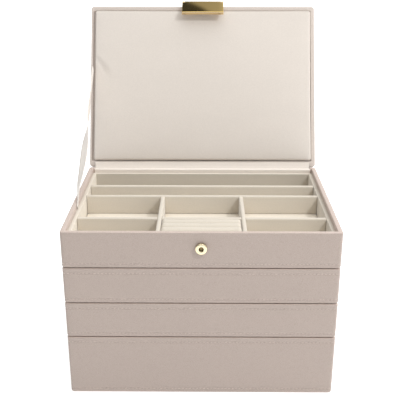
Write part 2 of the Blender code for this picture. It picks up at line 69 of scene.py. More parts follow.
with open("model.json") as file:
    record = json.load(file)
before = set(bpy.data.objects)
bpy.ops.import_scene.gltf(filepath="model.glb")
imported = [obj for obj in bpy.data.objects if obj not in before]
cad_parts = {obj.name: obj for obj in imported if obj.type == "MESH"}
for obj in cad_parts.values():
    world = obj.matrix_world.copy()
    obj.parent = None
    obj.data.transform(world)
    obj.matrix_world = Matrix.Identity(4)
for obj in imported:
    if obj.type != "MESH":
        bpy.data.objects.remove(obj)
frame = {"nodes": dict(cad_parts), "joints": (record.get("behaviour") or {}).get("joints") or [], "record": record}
CAD_LOW, CAD_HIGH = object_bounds()

# Tiers from the table up, and the body that each one rides on
TIERS = {"deep": "deep_tier", "lower": "lower_tray", "upper": "upper_tray", "top": "top_tray"}

# Where the outline of a round-cornered rectangle starts and ends each corner, in quarter turns and in
# the side of the box that the corner is on; the corners are joined by the straight sides
TURNS = (0, 1, 1, 2, 2, 3, 3, 4, 4)
SIDES_X = (1, 1, -1, -1, -1, -1, 1, 1, 1)
SIDES_Y = (1, 1, 1, 1, -1, -1, -1, -1, 1)
LEAST_ROUND = 0.0001

# Sizes that follow the part and aren't for the user to change
TRAY_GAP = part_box("lower_case")[0].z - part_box("deep_case")[1].z
CASE_ROUND = 0.0030
LINING_ROUND = 0.0015
STRIP_END = 0.0004

# How finely curves are cut
EDGE_STEPS = 5
STITCH_STATIONS = 4
STITCH_SIDES = 6
RIBBON_STATIONS = 120
SPINE_STATIONS = 60
BARREL_STEPS = 40
TINY = 1e-9


def corners(node):
    """Lowest and highest corner of a CAD node as arrays."""
    low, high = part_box(node)
    return np.array(low), np.array(high)


def turned(points, line, degrees):
    """Points turned about a line along X through line (y, z), by one angle or by one for each point.

    From the line, y becomes y cos - z sin and z becomes y sin + z cos.
    """
    angle = np.radians(degrees)
    result = np.array(points, dtype=float)
    from_y, from_z = result[..., 1] - line[0], result[..., 2] - line[1]
    result[..., 1] = line[0] + from_y * np.cos(angle) - from_z * np.sin(angle)
    result[..., 2] = line[1] + from_y * np.sin(angle) + from_z * np.cos(angle)
    return result


JOINTS = {joint["name"]: joint for joint in frame["joints"]}
HINGE_LINE = tuple(JOINTS["lid_hinge"]["pos_m"][1:])
LID_TURN = JOINTS["lid_hinge"]["range_deg"][1]
FLAP_TURN = JOINTS["clasp_turn"]["range_deg"][1]


def opened(points):
    """Points of the shut lid turned open to the rest pose."""
    return turned(points, HINGE_LINE, -LID_TURN)


def shut(points):
    """Points of the open lid at rest turned shut."""
    return turned(points, HINGE_LINE, LID_TURN)


PIN_SHUT = tuple(shut(np.array([JOINTS["clasp_turn"]["pos_m"]], dtype=float))[0, 1:])


def flap_at_rest(points):
    """Points of the flap hanging upright on the shut lid, turned back on its pin and opened with the lid."""
    return opened(turned(points, PIN_SHUT, FLAP_TURN))


def node_points(node):
    """Vertices of a CAD node as an array."""
    data = frame["nodes"][node].data
    flat = np.empty(len(data.vertices) * 3, dtype=np.float32)
    data.vertices.foreach_get("co", flat)
    return flat.reshape(-1, 3).astype(float)


def shut_corners(node):
    """Lowest and highest corner of a node of the lid when the lid is shut."""
    points = shut(node_points(node))
    return points.min(0), points.max(0)


def smooth_share(value, low, high):
    """Share of the way from low to high, eased at both ends: 3 s^2 - 2 s^3."""
    share = np.clip((value - low) / (high - low), 0.0, 1.0)
    return share * share * (3.0 - 2.0 * share)


def past(value, low, high):
    """How far a value lies outside the range from low to high; it is negative inside."""
    return np.maximum(low - value, value - high)


# Shapes


def rounded_section(low, high, rounds, steps=EDGE_STEPS):
    """Counterclockwise outline of a rectangle with a quarter circle at each corner.

    The corners go lower right, upper right, upper left, lower left. A point is the corner's centre
    plus its radius times (cos, sin) of an angle that grows by a quarter turn in each corner.
    """
    angles = np.linspace(0.0, math.pi / 2, steps + 1)
    starts = np.array([-1, 0, 1, 2])[:, None] * math.pi / 2 + angles
    rounds = np.array(rounds)[:, None]
    right, upper = np.array([1, 1, 0, 0])[:, None], np.array([0, 1, 1, 0])[:, None]
    centre_x = np.where(right == 1, high[0] - rounds, low[0] + rounds)
    centre_y = np.where(upper == 1, high[1] - rounds, low[1] + rounds)
    points = np.stack([centre_x + rounds * np.cos(starts), centre_y + rounds * np.sin(starts)], -1)
    return points.reshape(-1, 2)


def outline_marks(half, corner):
    """Lengths along a round-cornered outline at which each corner and side ends."""
    arc = corner * math.pi / 2
    side_x, side_y = 2 * (half[0] - corner), 2 * (half[1] - corner)
    return np.concatenate([[0.0], np.cumsum([arc, side_x, arc, side_y] * 2)])


def outline_lengths(half, corner, spacing, corner_steps=5, extra=()):
    """Even lengths along each corner and side of the outline, plus the extra ones."""
    marks = outline_marks(half, corner)
    steps = [corner_steps if part % 2 == 0 else max(1, round((marks[part + 1] - marks[part]) / spacing))
             for part in range(8)]
    parts = [np.linspace(marks[part], marks[part + 1], steps[part], endpoint=False) for part in range(8)]
    return np.unique(np.round(np.concatenate(parts + [np.asarray(extra, dtype=float)]), 8))


def outline_points(lengths, half, corner, inset=0.0):
    """Points and outward directions of a round-cornered outline, at lengths along it.

    A point is the corner's centre plus the corner's radius, less the inset, times the direction, where
    centre and direction are interpolated between the marks. One row of points for each inset.
    """
    marks = outline_marks(half, corner)
    turn = np.interp(lengths, marks, TURNS) * math.pi / 2
    side = np.stack([np.interp(lengths, marks, SIDES_X), np.interp(lengths, marks, SIDES_Y)], -1)
    direction = np.stack([np.cos(turn), np.sin(turn)], -1)
    inset = np.atleast_1d(np.asarray(inset, dtype=float))[:, None, None]
    left = np.maximum(corner - inset, LEAST_ROUND)
    return side * (np.array(half) - inset - left) + direction * left, direction


def border_lines(half, edge, corner, spacing, extra=()):
    """Grid lines across a plate: bunched like a quarter circle in the rounded edge, then even."""
    edge_lines = edge * (1 - np.cos(np.linspace(0.0, math.pi / 2, EDGE_STEPS + 1)))
    corner_lines = np.linspace(edge, max(edge, corner) + edge, 4)
    distance = np.unique(np.concatenate([edge_lines, corner_lines]))
    reach = half - distance[-1]
    inside = np.linspace(-reach, reach, max(3, round(2 * reach / spacing) + 1))
    lines = np.unique(np.round(np.concatenate([-half + distance, inside, half - distance, extra]), 7))
    return lines[(lines >= -half) & (lines <= half)]


def plate_plan(lines_x, lines_y, half, corner):
    """Plan of a grid over a plate with round corners, and each point's distance from the border.

    In a corner square the offsets a and b, 0 at its inner corner and 1 at the border, are scaled by
    max(a, b) / hypot(a, b), which turns squares round the inner corner into circles.
    """
    x, y = np.meshgrid(lines_x, lines_y, indexing="ij")
    from_x, from_y = half[0] - np.abs(x), half[1] - np.abs(y)
    a, b = np.clip(1 - from_x / corner, 0, 1), np.clip(1 - from_y / corner, 0, 1)
    in_corner = (a > 0) & (b > 0)
    largest = np.maximum(a, b)
    scale = largest / np.maximum(np.hypot(a, b), TINY)
    plan_x = np.where(in_corner, np.sign(x) * (half[0] - corner + corner * a * scale), x)
    plan_y = np.where(in_corner, np.sign(y) * (half[1] - corner + corner * b * scale), y)
    return plan_x, plan_y, np.where(in_corner, corner * (1 - largest), np.minimum(from_x, from_y))


def edge_fall(distance, edge):
    """How far a round edge falls below the face: e - sqrt(e^2 - (e - d)^2) within e of the border."""
    left = edge - np.clip(distance, 0.0, edge)
    return edge - np.sqrt(np.maximum(edge * edge - left * left, 0.0))


def new_mesh(name, points, faces, uv=None):
    """Mesh of points and a list of arrays of faces; uv is one pair for each point or face corner."""
    points = np.asarray(points, dtype=np.float32).reshape(-1, 3)
    if not np.isfinite(points).all():
        raise RuntimeError(f"{name} has a point that is not a number")
    faces = [np.asarray(group, dtype=np.int32) for group in faces if len(group)]
    faces = [group.reshape(-1, group.shape[-1]) for group in faces]
    loops = np.concatenate([group.ravel() for group in faces])
    sizes = np.concatenate([np.full(len(group), group.shape[1], dtype=np.int32) for group in faces])
    mesh = bpy.data.meshes.new(name)
    mesh.vertices.add(len(points))
    mesh.vertices.foreach_set("co", points.ravel())
    mesh.loops.add(len(loops))
    mesh.loops.foreach_set("vertex_index", loops)
    mesh.polygons.add(len(sizes))
    starts = np.concatenate([[0], np.cumsum(sizes)[:-1]]).astype(np.int32)
    mesh.polygons.foreach_set("loop_start", starts)
    mesh.polygons.foreach_set("use_smooth", np.ones(len(sizes), dtype=bool))
    if uv is not None:
        uv = np.asarray(uv, dtype=np.float32).reshape(-1, 2)
        if len(uv) == len(points):
            uv = uv[loops]
        mesh.uv_layers.new(name="cloth").data.foreach_set("uv", uv.ravel())
    mesh.update(calc_edges=True)
    mesh.validate()
    return mesh


def grid_mesh(name, points, closed_rows=False, closed_columns=False, capped=(False, False), uv=None):
    """Mesh of a grid of points, rows by columns.

    Face (i, j) joins (i, j), (i, j + 1), (i + 1, j + 1) and (i + 1, j). The last row or column joins the
    first where it is closed, and a capped end row gets a fan round its mean point.
    """
    rows, columns = points.shape[:2]
    index = np.arange(rows * columns).reshape(rows, columns)
    if closed_rows:
        index = np.vstack([index, index[:1]])
    if closed_columns:
        index = np.hstack([index, index[:, :1]])
    quads = np.stack([index[:-1, :-1], index[:-1, 1:], index[1:, 1:], index[1:, :-1]], -1).reshape(-1, 4)
    flat, fans = [points.reshape(-1, 3)], []
    for end, row in enumerate((0, -1)):
        if capped[end]:
            centre = rows * columns + len(fans)
            flat.append(points[row].mean(0, keepdims=True))
            pair = (index[row, 1:], index[row, :-1])
            before, after = pair if end == 0 else pair[::-1]
            fans.append(np.stack([np.full(len(before), centre), before, after], -1))
    if uv is not None:
        across, along = uv
        pairs = np.stack(np.meshgrid(across, along, indexing="xy"), -1)
        uv = np.stack([pairs[:-1, :-1], pairs[:-1, 1:], pairs[1:, 1:], pairs[1:, :-1]], 2).reshape(-1, 2)
        uv = np.concatenate([uv, np.zeros((sum(fan.size for fan in fans), 2))])
    return new_mesh(name, np.concatenate(flat), [quads] + fans, uv)


def tube_mesh(name, points, uv=None):
    """Closed mesh of a section carried along its stations, one row of points each, with both ends capped."""
    return grid_mesh(name, points, closed_columns=True, capped=(True, True), uv=uv)


def plate_mesh(name, upper, lower, uv):
    """Closed mesh of an upper and a lower sheet of points, joined along their borders.

    Both sheets are grids whose rows run along X and columns along Y, seen from above.
    """
    rows, columns = upper.shape[:2]
    count = rows * columns
    index = np.arange(count).reshape(rows, columns)
    top = np.stack([index[:-1, :-1], index[1:, :-1], index[1:, 1:], index[:-1, 1:]], -1).reshape(-1, 4)
    border = np.concatenate([index[:, 0], index[-1, 1:], index[-2::-1, -1], index[0, -2:0:-1]])
    after = np.roll(border, -1)
    strip = np.stack([border + count, after + count, after, border], -1)
    points = np.concatenate([upper.reshape(-1, 3), lower.reshape(-1, 3)])
    uv = np.concatenate([uv.reshape(-1, 2)] * 2)
    return new_mesh(name, points, [top, top[:, ::-1] + count, strip], uv)


def joined_meshes(name, meshes):
    """One mesh of several closed ones, which are removed."""
    joined = bmesh.new()
    for mesh in meshes:
        joined.from_mesh(mesh)
        bpy.data.meshes.remove(mesh)
    result = bpy.data.meshes.new(name)
    joined.to_mesh(result)
    joined.free()
    return result


def carried(stations, side, level):
    """Grid of points (station, side, level): a section carried along X through the stations."""
    parts = (stations[:, None], side, level)
    shape = np.broadcast_shapes(*(np.shape(part) for part in parts))
    return np.stack([np.broadcast_to(part, shape) for part in parts], -1)


def bar_points(low, high, along, across_round, end_round, sink=0.0):
    """Grid of points of a padded bar from low to high: a rounded section carried along its length.

    The section shrinks towards its own middle by the fall of a round edge near each end. A bar along Y is
    one along X turned by a quarter.
    """
    across = 1 - along
    half = np.array([(high[across] - low[across]) / 2, (high[2] - low[2] + sink) / 2])
    upper, foot = across_round
    section = rounded_section(-half, half, (foot, upper, upper, foot))
    middle = np.array([(high[across] + low[across]) / 2, (high[2] + low[2] - sink) / 2])
    length, spacing = high[along] - low[along], 0.02
    stations = border_lines(length / 2, end_round, end_round, spacing)
    shrink = edge_fall(length / 2 - np.abs(stations), end_round)[:, None]
    side = middle[0] + section[:, 0] * (1 - shrink / half[0])
    level = middle[1] + section[:, 1] * (1 - shrink / half[1])
    points = carried((high[along] + low[along]) / 2 + stations, side, level)
    if along == 1:
        points = np.stack([2 * middle[0] - side, points[..., 0], level], -1)
    return points


def turned_mesh(name, profile, centre, steps=48):
    """Closed mesh of a profile (radius, depth towards the front) turned about a line along Y."""
    angles = np.linspace(0.0, 2 * math.pi, steps, endpoint=False)[:, None]
    radius, depth = profile[:, 0], profile[:, 1]
    x = centre[0] + radius * np.cos(angles)
    z = centre[2] + radius * np.sin(angles)
    y = np.broadcast_to(centre[1] - depth, x.shape)
    return grid_mesh(name, np.stack([x, y, z], -1)[:, ::-1], closed_rows=True, closed_columns=True)


def path_lengths(path):
    """Length along a path at each of its points."""
    return np.concatenate([[0.0], np.cumsum(np.linalg.norm(np.diff(path, axis=0), axis=1))])


def path_normals(path):
    """Direction to the right of a path of (y, z) points at each of them."""
    way = np.gradient(path, axis=0)
    way /= np.maximum(np.linalg.norm(way, axis=1, keepdims=True), TINY)
    return np.stack([way[:, 1], -way[:, 0]], -1)


def strip_section(path, thickness):
    """Counterclockwise outline of a strip about a bent path of (y, z) points, thinner at both ends.

    Each point of the path is moved half the thickness to either side, along the path's normal.
    """
    end_share = 0.55
    share = np.full(len(path), 1.0)
    share[[0, -1]] = end_share
    aside = path_normals(path) * thickness / 2 * share[:, None]
    return np.concatenate([path + aside, (path - aside)[::-1]])


def smoothed_path(path, spacing, reach, passes=2):
    """Path resampled evenly by length, with its bends rounded by a running mean over reach.

    Both ends are continued by their own mirror image, so that they stay where they are.
    """
    path = np.asarray(path, dtype=float)
    length = path_lengths(path)
    axes = range(path.shape[1])
    stations = np.linspace(0.0, length[-1], max(4, round(length[-1] / spacing) + 1))
    even = np.stack([np.interp(stations, length, path[:, axis]) for axis in axes], -1)
    width = max(1, round(reach / spacing)) | 1
    kernel = np.full(width, 1.0 / width)
    for _ in range(passes):
        start = 2 * even[0] - even[1:width // 2 + 1][::-1]
        end = 2 * even[-1] - even[-width // 2:-1][::-1]
        padded = np.concatenate([start, even, end])
        even = np.stack([np.convolve(padded[:, axis], kernel, mode="valid") for axis in axes], -1)
    return even


# Finishes

WHITE = (1.0, 1.0, 1.0, 1.0)
# Where most of a cloud's values lie
MOST = (0.3, 0.7)
# How far a face has to be turned along an axis for a tone of painted light or shade to start and to be full
TURNED = (0.45, 0.95)
# How far inside the outer wall the painted light on the walls' inner faces starts and is complete
PAINTED_INNER_LIGHT = (0.0012, 0.0018)
# How far a face of the flap has to be turned along Y for the lip's painted shade to start and to be full
PAINTED_LIP_FACES = (-0.60, -0.85)
# How far past the middle of the lid's thickness the painted light of its border starts and is complete
PAST_MIDDLE = (0.0006, 0.0018)


def made_once(name):
    """Decorator for a finish: it makes its material, of this name, the first time and then finds it."""
    def decorate(build):
        @functools.wraps(build)
        def found():
            return bpy.data.materials.get(name) or build(name)
        return found
    return decorate


def finish(name):
    """A new material, its node tree, its shader and its Object coordinates."""
    material = bpy.data.materials.new(name)
    material.use_nodes = True
    tree = material.node_tree
    place = tree.nodes.new("ShaderNodeTexCoord").outputs["Object"]
    return material, tree, tree.nodes["Principled BSDF"], place


def uniform(shader, numbers):
    """Sets sockets of the shader that are the same all over."""
    for socket, number in numbers.items():
        shader.inputs[socket].default_value = number


def stretched(tree, place, scale):
    """Coordinates scaled by a different amount along each axis."""
    mapping = tree.nodes.new("ShaderNodeMapping")
    mapping.inputs["Scale"].default_value = scale
    tree.links.new(place, mapping.inputs["Vector"])
    return mapping.outputs["Vector"]


def cloud(tree, place, scale, detail=2.0, roughness=0.5):
    """Noise between 0 and 1, scale being waves in a metre."""
    noise = tree.nodes.new("ShaderNodeTexNoise")
    noise.inputs["Scale"].default_value = scale
    noise.inputs["Detail"].default_value = detail
    noise.inputs["Roughness"].default_value = roughness
    tree.links.new(place, noise.inputs["Vector"])
    return noise.outputs["Fac"]


def ranged(tree, value, low, high, to_low, to_high):
    """A value moved from one range to another and held inside it."""
    node = tree.nodes.new("ShaderNodeMapRange")
    for socket, number in zip(("From Min", "From Max", "To Min", "To Max"), (low, high, to_low, to_high)):
        node.inputs[socket].default_value = number
    tree.links.new(value, node.inputs["Value"])
    return node.outputs["Result"]


def counted(tree, operation, *values):
    """One step of arithmetic on sockets and numbers."""
    node = tree.nodes.new("ShaderNodeMath")
    node.operation = operation
    for index, value in enumerate(values):
        if isinstance(value, bpy.types.NodeSocket):
            tree.links.new(value, node.inputs[index])
        else:
            node.inputs[index].default_value = value
    return node.outputs["Value"]


def weighted(tree, first, second, share):
    """Mean of two values, in which the first has the share and the second the rest."""
    parts = counted(tree, "MULTIPLY", first, share), counted(tree, "MULTIPLY", second, 1 - share)
    return counted(tree, "ADD", *parts)


def blended(tree, factor, first, second):
    """Colour between two colours or colour sockets."""
    node = tree.nodes.new("ShaderNodeMix")
    node.data_type = "RGBA"
    tree.links.new(factor, node.inputs[0])
    for socket, colour in ((node.inputs[6], first), (node.inputs[7], second)):
        if isinstance(colour, bpy.types.NodeSocket):
            tree.links.new(colour, socket)
        else:
            socket.default_value = colour
    return node.outputs[2]


def multiplied(tree, first, second):
    """Product of two colours."""
    node = tree.nodes.new("ShaderNodeMix")
    node.data_type, node.blend_type = "RGBA", "MULTIPLY"
    node.inputs[0].default_value = 1.0
    tree.links.new(first, node.inputs[6])
    tree.links.new(second, node.inputs[7])
    return node.outputs[2]


def split(tree, vector):
    """X, Y and Z of a vector."""
    parts = tree.nodes.new("ShaderNodeSeparateXYZ")
    tree.links.new(vector, parts.inputs["Vector"])
    return tuple(parts.outputs)


def facing(tree):
    """X, Y and Z of the direction a surface faces, in the piece's own axes."""
    return split(tree, tree.nodes.new("ShaderNodeTexCoord").outputs["Normal"])


def dot(tree, place, way):
    """How far a place or direction goes along a way: their dot product."""
    node = tree.nodes.new("ShaderNodeVectorMath")
    node.operation = "DOT_PRODUCT"
    tree.links.new(place, node.inputs[0])
    node.inputs[1].default_value = way
    return node.outputs["Value"]


def raised(tree, shader, height, strength, distance):
    """Bump from a height between 0 and 1 that stands for distance in metres."""
    node = tree.nodes.new("ShaderNodeBump")
    node.inputs["Strength"].default_value = strength
    node.inputs["Distance"].default_value = distance
    tree.links.new(height, node.inputs["Height"])
    tree.links.new(node.outputs["Normal"], shader.inputs["Normal"])


def roughened(tree, shader, value, low, high):
    """Roughness that goes from low to high with a cloud's value."""
    tree.links.new(ranged(tree, value, *MOST, low, high), shader.inputs["Roughness"])


def shade(colour, factor):
    """A colour made lighter or darker, with full opacity."""
    return tuple(min(1.0, part * factor) for part in tuple(colour)[:3]) + (1.0,)


def varied(tree, factor, colour, spread):
    """A colour that goes from darker to lighter with the factor, by the spread either way."""
    return blended(tree, factor, shade(colour, 1 - spread), shade(colour, 1 + spread))


def creased(tree, place, grain):
    """Pebbled grain: 0 in the creases between cells a grain wide, 1 on the cells; a cloud bends them."""
    bending, crease = 0.6, 0.22
    bent = tree.nodes.new("ShaderNodeVectorMath")
    bent.operation = "MULTIPLY_ADD"
    tree.links.new(cloud(tree, place, 380, 1.0), bent.inputs[0])
    bent.inputs[1].default_value = (grain * bending,) * 3
    tree.links.new(place, bent.inputs[2])
    cells = tree.nodes.new("ShaderNodeTexVoronoi")
    cells.feature = "DISTANCE_TO_EDGE"
    cells.inputs["Scale"].default_value = 1 / grain
    tree.links.new(bent.outputs[0], cells.inputs["Vector"])
    return ranged(tree, cells.outputs["Distance"], 0.0, crease, 0.0, 1.0)


def painted_rim_light_share(tree, place):
    """Where painted light goes on the leatherette: 1 on the rims, which face up, and on the walls' inner faces,
    which lie inside the outer ones.
    """
    inside = []
    for part, half in zip(split(tree, place), case_half("top")):
        reach = counted(tree, "ABSOLUTE", part)
        inside.append(ranged(tree, reach, half - PAINTED_INNER_LIGHT[1], half - PAINTED_INNER_LIGHT[0], 1.0, 0.0))
    up = ranged(tree, facing(tree)[2], *TURNED, 0.0, 1.0)
    return counted(tree, "MAXIMUM", up, counted(tree, "MULTIPLY", *inside))


def painted_lid_light_share(tree, place):
    """Where the lid's painted light goes: 1 on the half of the lid board that shuts on the tray, past its middle
    along the way inwards.
    """
    down = opened(np.array([[0.0, 0.0, -1.0], [0.0, 0.0, 0.0]]))
    inwards = down[0] - down[1]
    middle = float(opened(np.array([sum(shut_corners("lid_board")) / 2]))[0] @ inwards)
    depth = dot(tree, place, inwards)
    return ranged(tree, depth, middle + PAST_MIDDLE[0], middle + PAST_MIDDLE[1], 0.0, 1.0)


def leatherette(name, border=None):
    """Leatherette: pebbled grain in fine creases, soft cloudy colour and a dull even gloss.

    It gets painted light on the rims that face up and on the walls' inner faces, and painted shade in
    the creases of its grain. A border's colour, where one is given, is painted light on the lid's inner half.
    """
    settings = bpy.context.scene.jewel_box_wrap
    material, tree, shader, place = finish(name)
    creases = creased(tree, place, settings.grain)
    pores = cloud(tree, place, 2600, 3.0, 0.6)
    base = varied(tree, cloud(tree, place, 16, 2.0), settings.colour, 0.025)
    # Painted light: paler leatherette on the rims that face up and on the walls' inner faces.
    base = blended(tree, painted_rim_light_share(tree, place), base, shade(settings.colour, settings.rim_painted_light))
    # Painted light: the border's paler colour on the lid's half that shuts on the tray.
    if border:
        base = blended(tree, painted_lid_light_share(tree, place), base, shade(border, 1.0))
    mottle = blended(tree, cloud(tree, place, 240, 3.0, 0.6), shade(WHITE, 0.95), WHITE)
    # Painted shade: the grain's creases are darker.
    crease_painted_shade = blended(tree, creases, (0.86, 0.85, 0.84, 1.0), WHITE)
    tree.links.new(multiplied(tree, multiplied(tree, base, mottle), crease_painted_shade), shader.inputs["Base Color"])
    roughened(tree, shader, pores, 0.50, 0.64)
    raised(tree, shader, weighted(tree, creases, pores, 0.75), 0.5, 0.00007)
    uniform(shader, {"Specular IOR Level": 0.42, "Sheen Weight": 0.30, "Sheen Roughness": 0.35})
    return material


@made_once("grained_leatherette")
def wrap_finish(name):
    """The leatherette of the walls and of the strip behind the hinge."""
    return leatherette(name)


@made_once("grained_lid_leatherette")
def lid_finish(name):
    """The leatherette of the lid board, with painted light on its half round the cushion."""
    return leatherette(name, bpy.context.scene.jewel_box_wrap.lid_painted_light_colour)


def pile_cloth(name, colour, nap=1.0, brushed=(1.0, 1.0, 1.0), painted_tones=(1.0, 1.0, 1.0)):
    """Short-pile lining cloth: fine pile, broad brushed patches, a faint sheen and almost no gloss.

    Painted light and shade go with the face: the given shades are those of the faces that look right,
    to the front and up.
    """
    material, tree, shader, place = finish(name)
    patches = cloud(tree, stretched(tree, place, brushed), 26, 3.0, 0.55)
    tufts = cloud(tree, place, 700, 3.0, 0.65)
    pile = cloud(tree, place, 5200, 2.0, 0.6)
    base = varied(tree, patches, colour, 0.022 * nap)
    # Painted light and shade: a tone for the faces that look right, to the front and up.
    for way, sign, tone in zip(facing(tree), (1, -1, 1), painted_tones):
        if tone != 1.0:
            turn = ranged(tree, way, sign * TURNED[0], sign * TURNED[1], 0.0, 1.0)
            base = blended(tree, turn, base, shade(colour, tone))
    speck = blended(tree, ranged(tree, tufts, *MOST, 0.0, 1.0), shade(WHITE, 1 - 0.05 * nap), WHITE)
    tree.links.new(multiplied(tree, base, speck), shader.inputs["Base Color"])
    roughened(tree, shader, pile, 0.86, 0.98)
    raised(tree, shader, weighted(tree, tufts, pile, 0.5), 0.5, 0.00008)
    uniform(shader, {"Specular IOR Level": 0.22, "Sheen Weight": 0.55, "Sheen Roughness": 0.32})
    return material


@made_once("lining_cloth_on_dividers")
def divider_finish(name):
    """Lining cloth on the dividers, whose tops may get painted light of their own."""
    settings = bpy.context.scene.jewel_box_lining
    return pile_cloth(name, settings.colour, painted_tones=(1.0, 1.0, settings.top_painted_light))


@made_once("lining_cloth_on_walls")
def wall_finish(name):
    """The same cloth on the walls, with painted shade on faces to the front, such as the rear wall's, and painted
    light on faces to the right, such as the left wall's.
    """
    settings = bpy.context.scene.jewel_box_lining
    painted_tones = (settings.side_painted_light, settings.rear_painted_shade, settings.top_painted_light)
    return pile_cloth(name, settings.colour, painted_tones=painted_tones)


@made_once("lining_cloth_on_floors")
def floor_finish(name):
    """The same cloth on the floor pads, with painted light where they face up."""
    settings = bpy.context.scene.jewel_box_lining
    return pile_cloth(name, settings.colour, painted_tones=(1.0, 1.0, settings.floor_painted_light))


@made_once("lining_cloth_on_rolls")
def roll_finish(name):
    """The same cloth over the foam of the ring rolls, brushed along them."""
    colour = bpy.context.scene.jewel_box_lining.colour
    return pile_cloth(name, colour, nap=1.2, brushed=(0.4, 1.6, 1.6))


@made_once("lining_cloth_on_foam")
def cushion_finish(name):
    """The lid's cloth over foam, a little whiter than the tray's and brushed across the lid."""
    colour = bpy.context.scene.jewel_box_cushion.colour
    return pile_cloth(name, colour, nap=1.2, brushed=(0.6, 1.4, 1.4))


@made_once("lining_cloth_on_hinge")
def hinge_finish(name):
    """The lid's cloth stretched over the rear rim, painted paler as painted light."""
    # Painted light: the cloth is made paler here.
    paleness = 1.22
    colour = shade(bpy.context.scene.jewel_box_cushion.colour, paleness)
    return pile_cloth(name, colour, nap=0.8, brushed=(0.4, 1.6, 1.6))


@made_once("stitching_thread")
def thread_finish(name):
    """Stitching thread: a twist of two plies in a slightly lighter colour than the leatherette."""
    material, tree, shader, place = finish(name)
    plies = cloud(tree, stretched(tree, place, (1.0, 1.0, 2.0)), 2400, 1.0)
    colour = bpy.context.scene.jewel_box_wrap.thread_colour
    tree.links.new(varied(tree, plies, colour, 0.06), shader.inputs["Base Color"])
    raised(tree, shader, plies, 0.4, 0.00005)
    uniform(shader, {"Roughness": 0.62, "Sheen Weight": 0.15})
    return material


@made_once("ribbed_ribbon")
def ribbon_finish(name):
    """Grosgrain ribbon: ribs across its length, along its own UV map, and fine fibres."""
    settings = bpy.context.scene.jewel_box_ribbon
    material, tree, shader, place = finish(name)
    cloth = tree.nodes.new("ShaderNodeUVMap")
    cloth.uv_map = "cloth"
    length = split(tree, cloth.outputs["UV"])[1]
    wave = counted(tree, "SINE", counted(tree, "MULTIPLY", length, 2 * math.pi / settings.rib))
    ribs = counted(tree, "MULTIPLY_ADD", wave, 0.5, 0.5)
    fibres = cloud(tree, place, 3000, 2.0)
    base = blended(tree, ribs, shade(settings.colour, 0.95), shade(settings.colour, 1.02))
    tree.links.new(base, shader.inputs["Base Color"])
    roughened(tree, shader, fibres, 0.48, 0.62)
    raised(tree, shader, weighted(tree, ribs, fibres, 0.8), 0.5, 0.0001)
    uniform(shader, {"Sheen Weight": 0.2, "Sheen Roughness": 0.35})
    return material


def plated_metal(name, colour, low, high, lip=None):
    """Plated metal: a clean colour, roughness from low to high and hair-fine wipe marks along X.

    Faces to the front get the lip's colour, a painted shade, where one is given.
    """
    material, tree, shader, place = finish(name)
    drift = cloud(tree, place, 60, 2.0)
    marks = cloud(tree, stretched(tree, place, (0.04, 1.0, 1.0)), 5000, 2.0, 0.6)
    base = varied(tree, drift, colour, 0.03)
    # Painted shade: the flap's faces to the front are darker.
    if lip:
        front = ranged(tree, facing(tree)[1], *PAINTED_LIP_FACES, 0.0, 1.0)
        base = blended(tree, front, base, shade(lip, 1.0))
    tree.links.new(base, shader.inputs["Base Color"])
    roughened(tree, shader, weighted(tree, drift, marks, 0.4), low, high)
    raised(tree, shader, marks, 0.05, 0.00001)
    uniform(shader, {"Metallic": 1.0})
    return material


@made_once("polished_gold")
def gold_finish(name):
    """Polished gold-coloured plating, with painted shade on the lip."""
    settings = bpy.context.scene.jewel_box_clasp
    gloss = settings.gloss
    return plated_metal(name, settings.colour, low=gloss * 0.8, high=gloss * 1.2, lip=settings.lip_painted_shade)


@made_once("pale_gold")
def stud_finish(name):
    """The stud's plating, paler as a painted highlight, and duller."""
    # Painted highlight: the stud's paler colour stands in for its bright reflection.
    return plated_metal(name, bpy.context.scene.jewel_box_clasp.stud_colour_and_painted_highlight, low=0.16, high=0.26)


@made_once("darkened_steel")
def steel_finish(name):
    """Steel darkened to a bronze tone: the clasp's pin and magnet, and the stud's post and washer."""
    colour = (0.19, 0.14, 0.07)
    return plated_metal(name, colour, low=0.26, high=0.40)


@made_once("wrapped_board")
def board_finish(name):
    """Paper-wrapped board: matt, faintly fibrous and a little uneven in colour."""
    material, tree, shader, place = finish(name)
    colour = (0.44, 0.375, 0.33)
    fibres = cloud(tree, stretched(tree, place, (0.35, 1.0, 1.0)), 1100, 4.0, 0.65)
    base = varied(tree, cloud(tree, place, 20, 2.0), colour, 0.04)
    tinted = blended(tree, ranged(tree, fibres, 0.35, 0.75, 0.0, 0.12), base, shade(colour, 0.7))
    tree.links.new(tinted, shader.inputs["Base Color"])
    roughened(tree, shader, fibres, 0.66, 0.82)
    raised(tree, shader, fibres, 0.35, 0.00006)
    return material


@made_once("base_felt")
def felt_finish(name):
    """Short felt under the stack: matted fibres in two sizes."""
    material, tree, shader, place = finish(name)
    matted = cloud(tree, place, 900, 5.0, 0.7)
    tufts = cloud(tree, place, 140, 3.0)
    base = blended(tree, matted, (0.20, 0.17, 0.15, 1.0), (0.36, 0.315, 0.285, 1.0))
    tufted = blended(tree, ranged(tree, tufts, *MOST, 0.0, 0.3), base, (0.25, 0.21, 0.19, 1.0))
    tree.links.new(tufted, shader.inputs["Base Color"])
    raised(tree, shader, matted, 0.7, 0.0003)
    uniform(shader, {"Roughness": 0.96, "Sheen Weight": 0.3})
    return material


# Pieces


def placed(name, data):
    """A new object in the scene."""
    piece = bpy.data.objects.new(name, data)
    bpy.context.scene.collection.objects.link(piece)
    return piece


def add_piece(mesh, body, material, replaces=()):
    """Puts a mesh into the scene with its finish and the CAD nodes that it stands for."""
    piece = placed(mesh.name, mesh)
    mesh.materials.append(material)
    if replaces:
        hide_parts(*replaces)
    if body:
        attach(piece, body)
    return piece


def body_of(node):
    """Name of the body that carries a node."""
    bodies = frame["record"]["behaviour"]["bodies"]
    return next(body for body, nodes in bodies.items() if node in nodes)


def dress_node(node, material):
    """Gives a CAD node, whose shape stays, a finish of its own."""
    slots = frame["nodes"][node].data.materials
    slots.clear()
    slots.append(material)


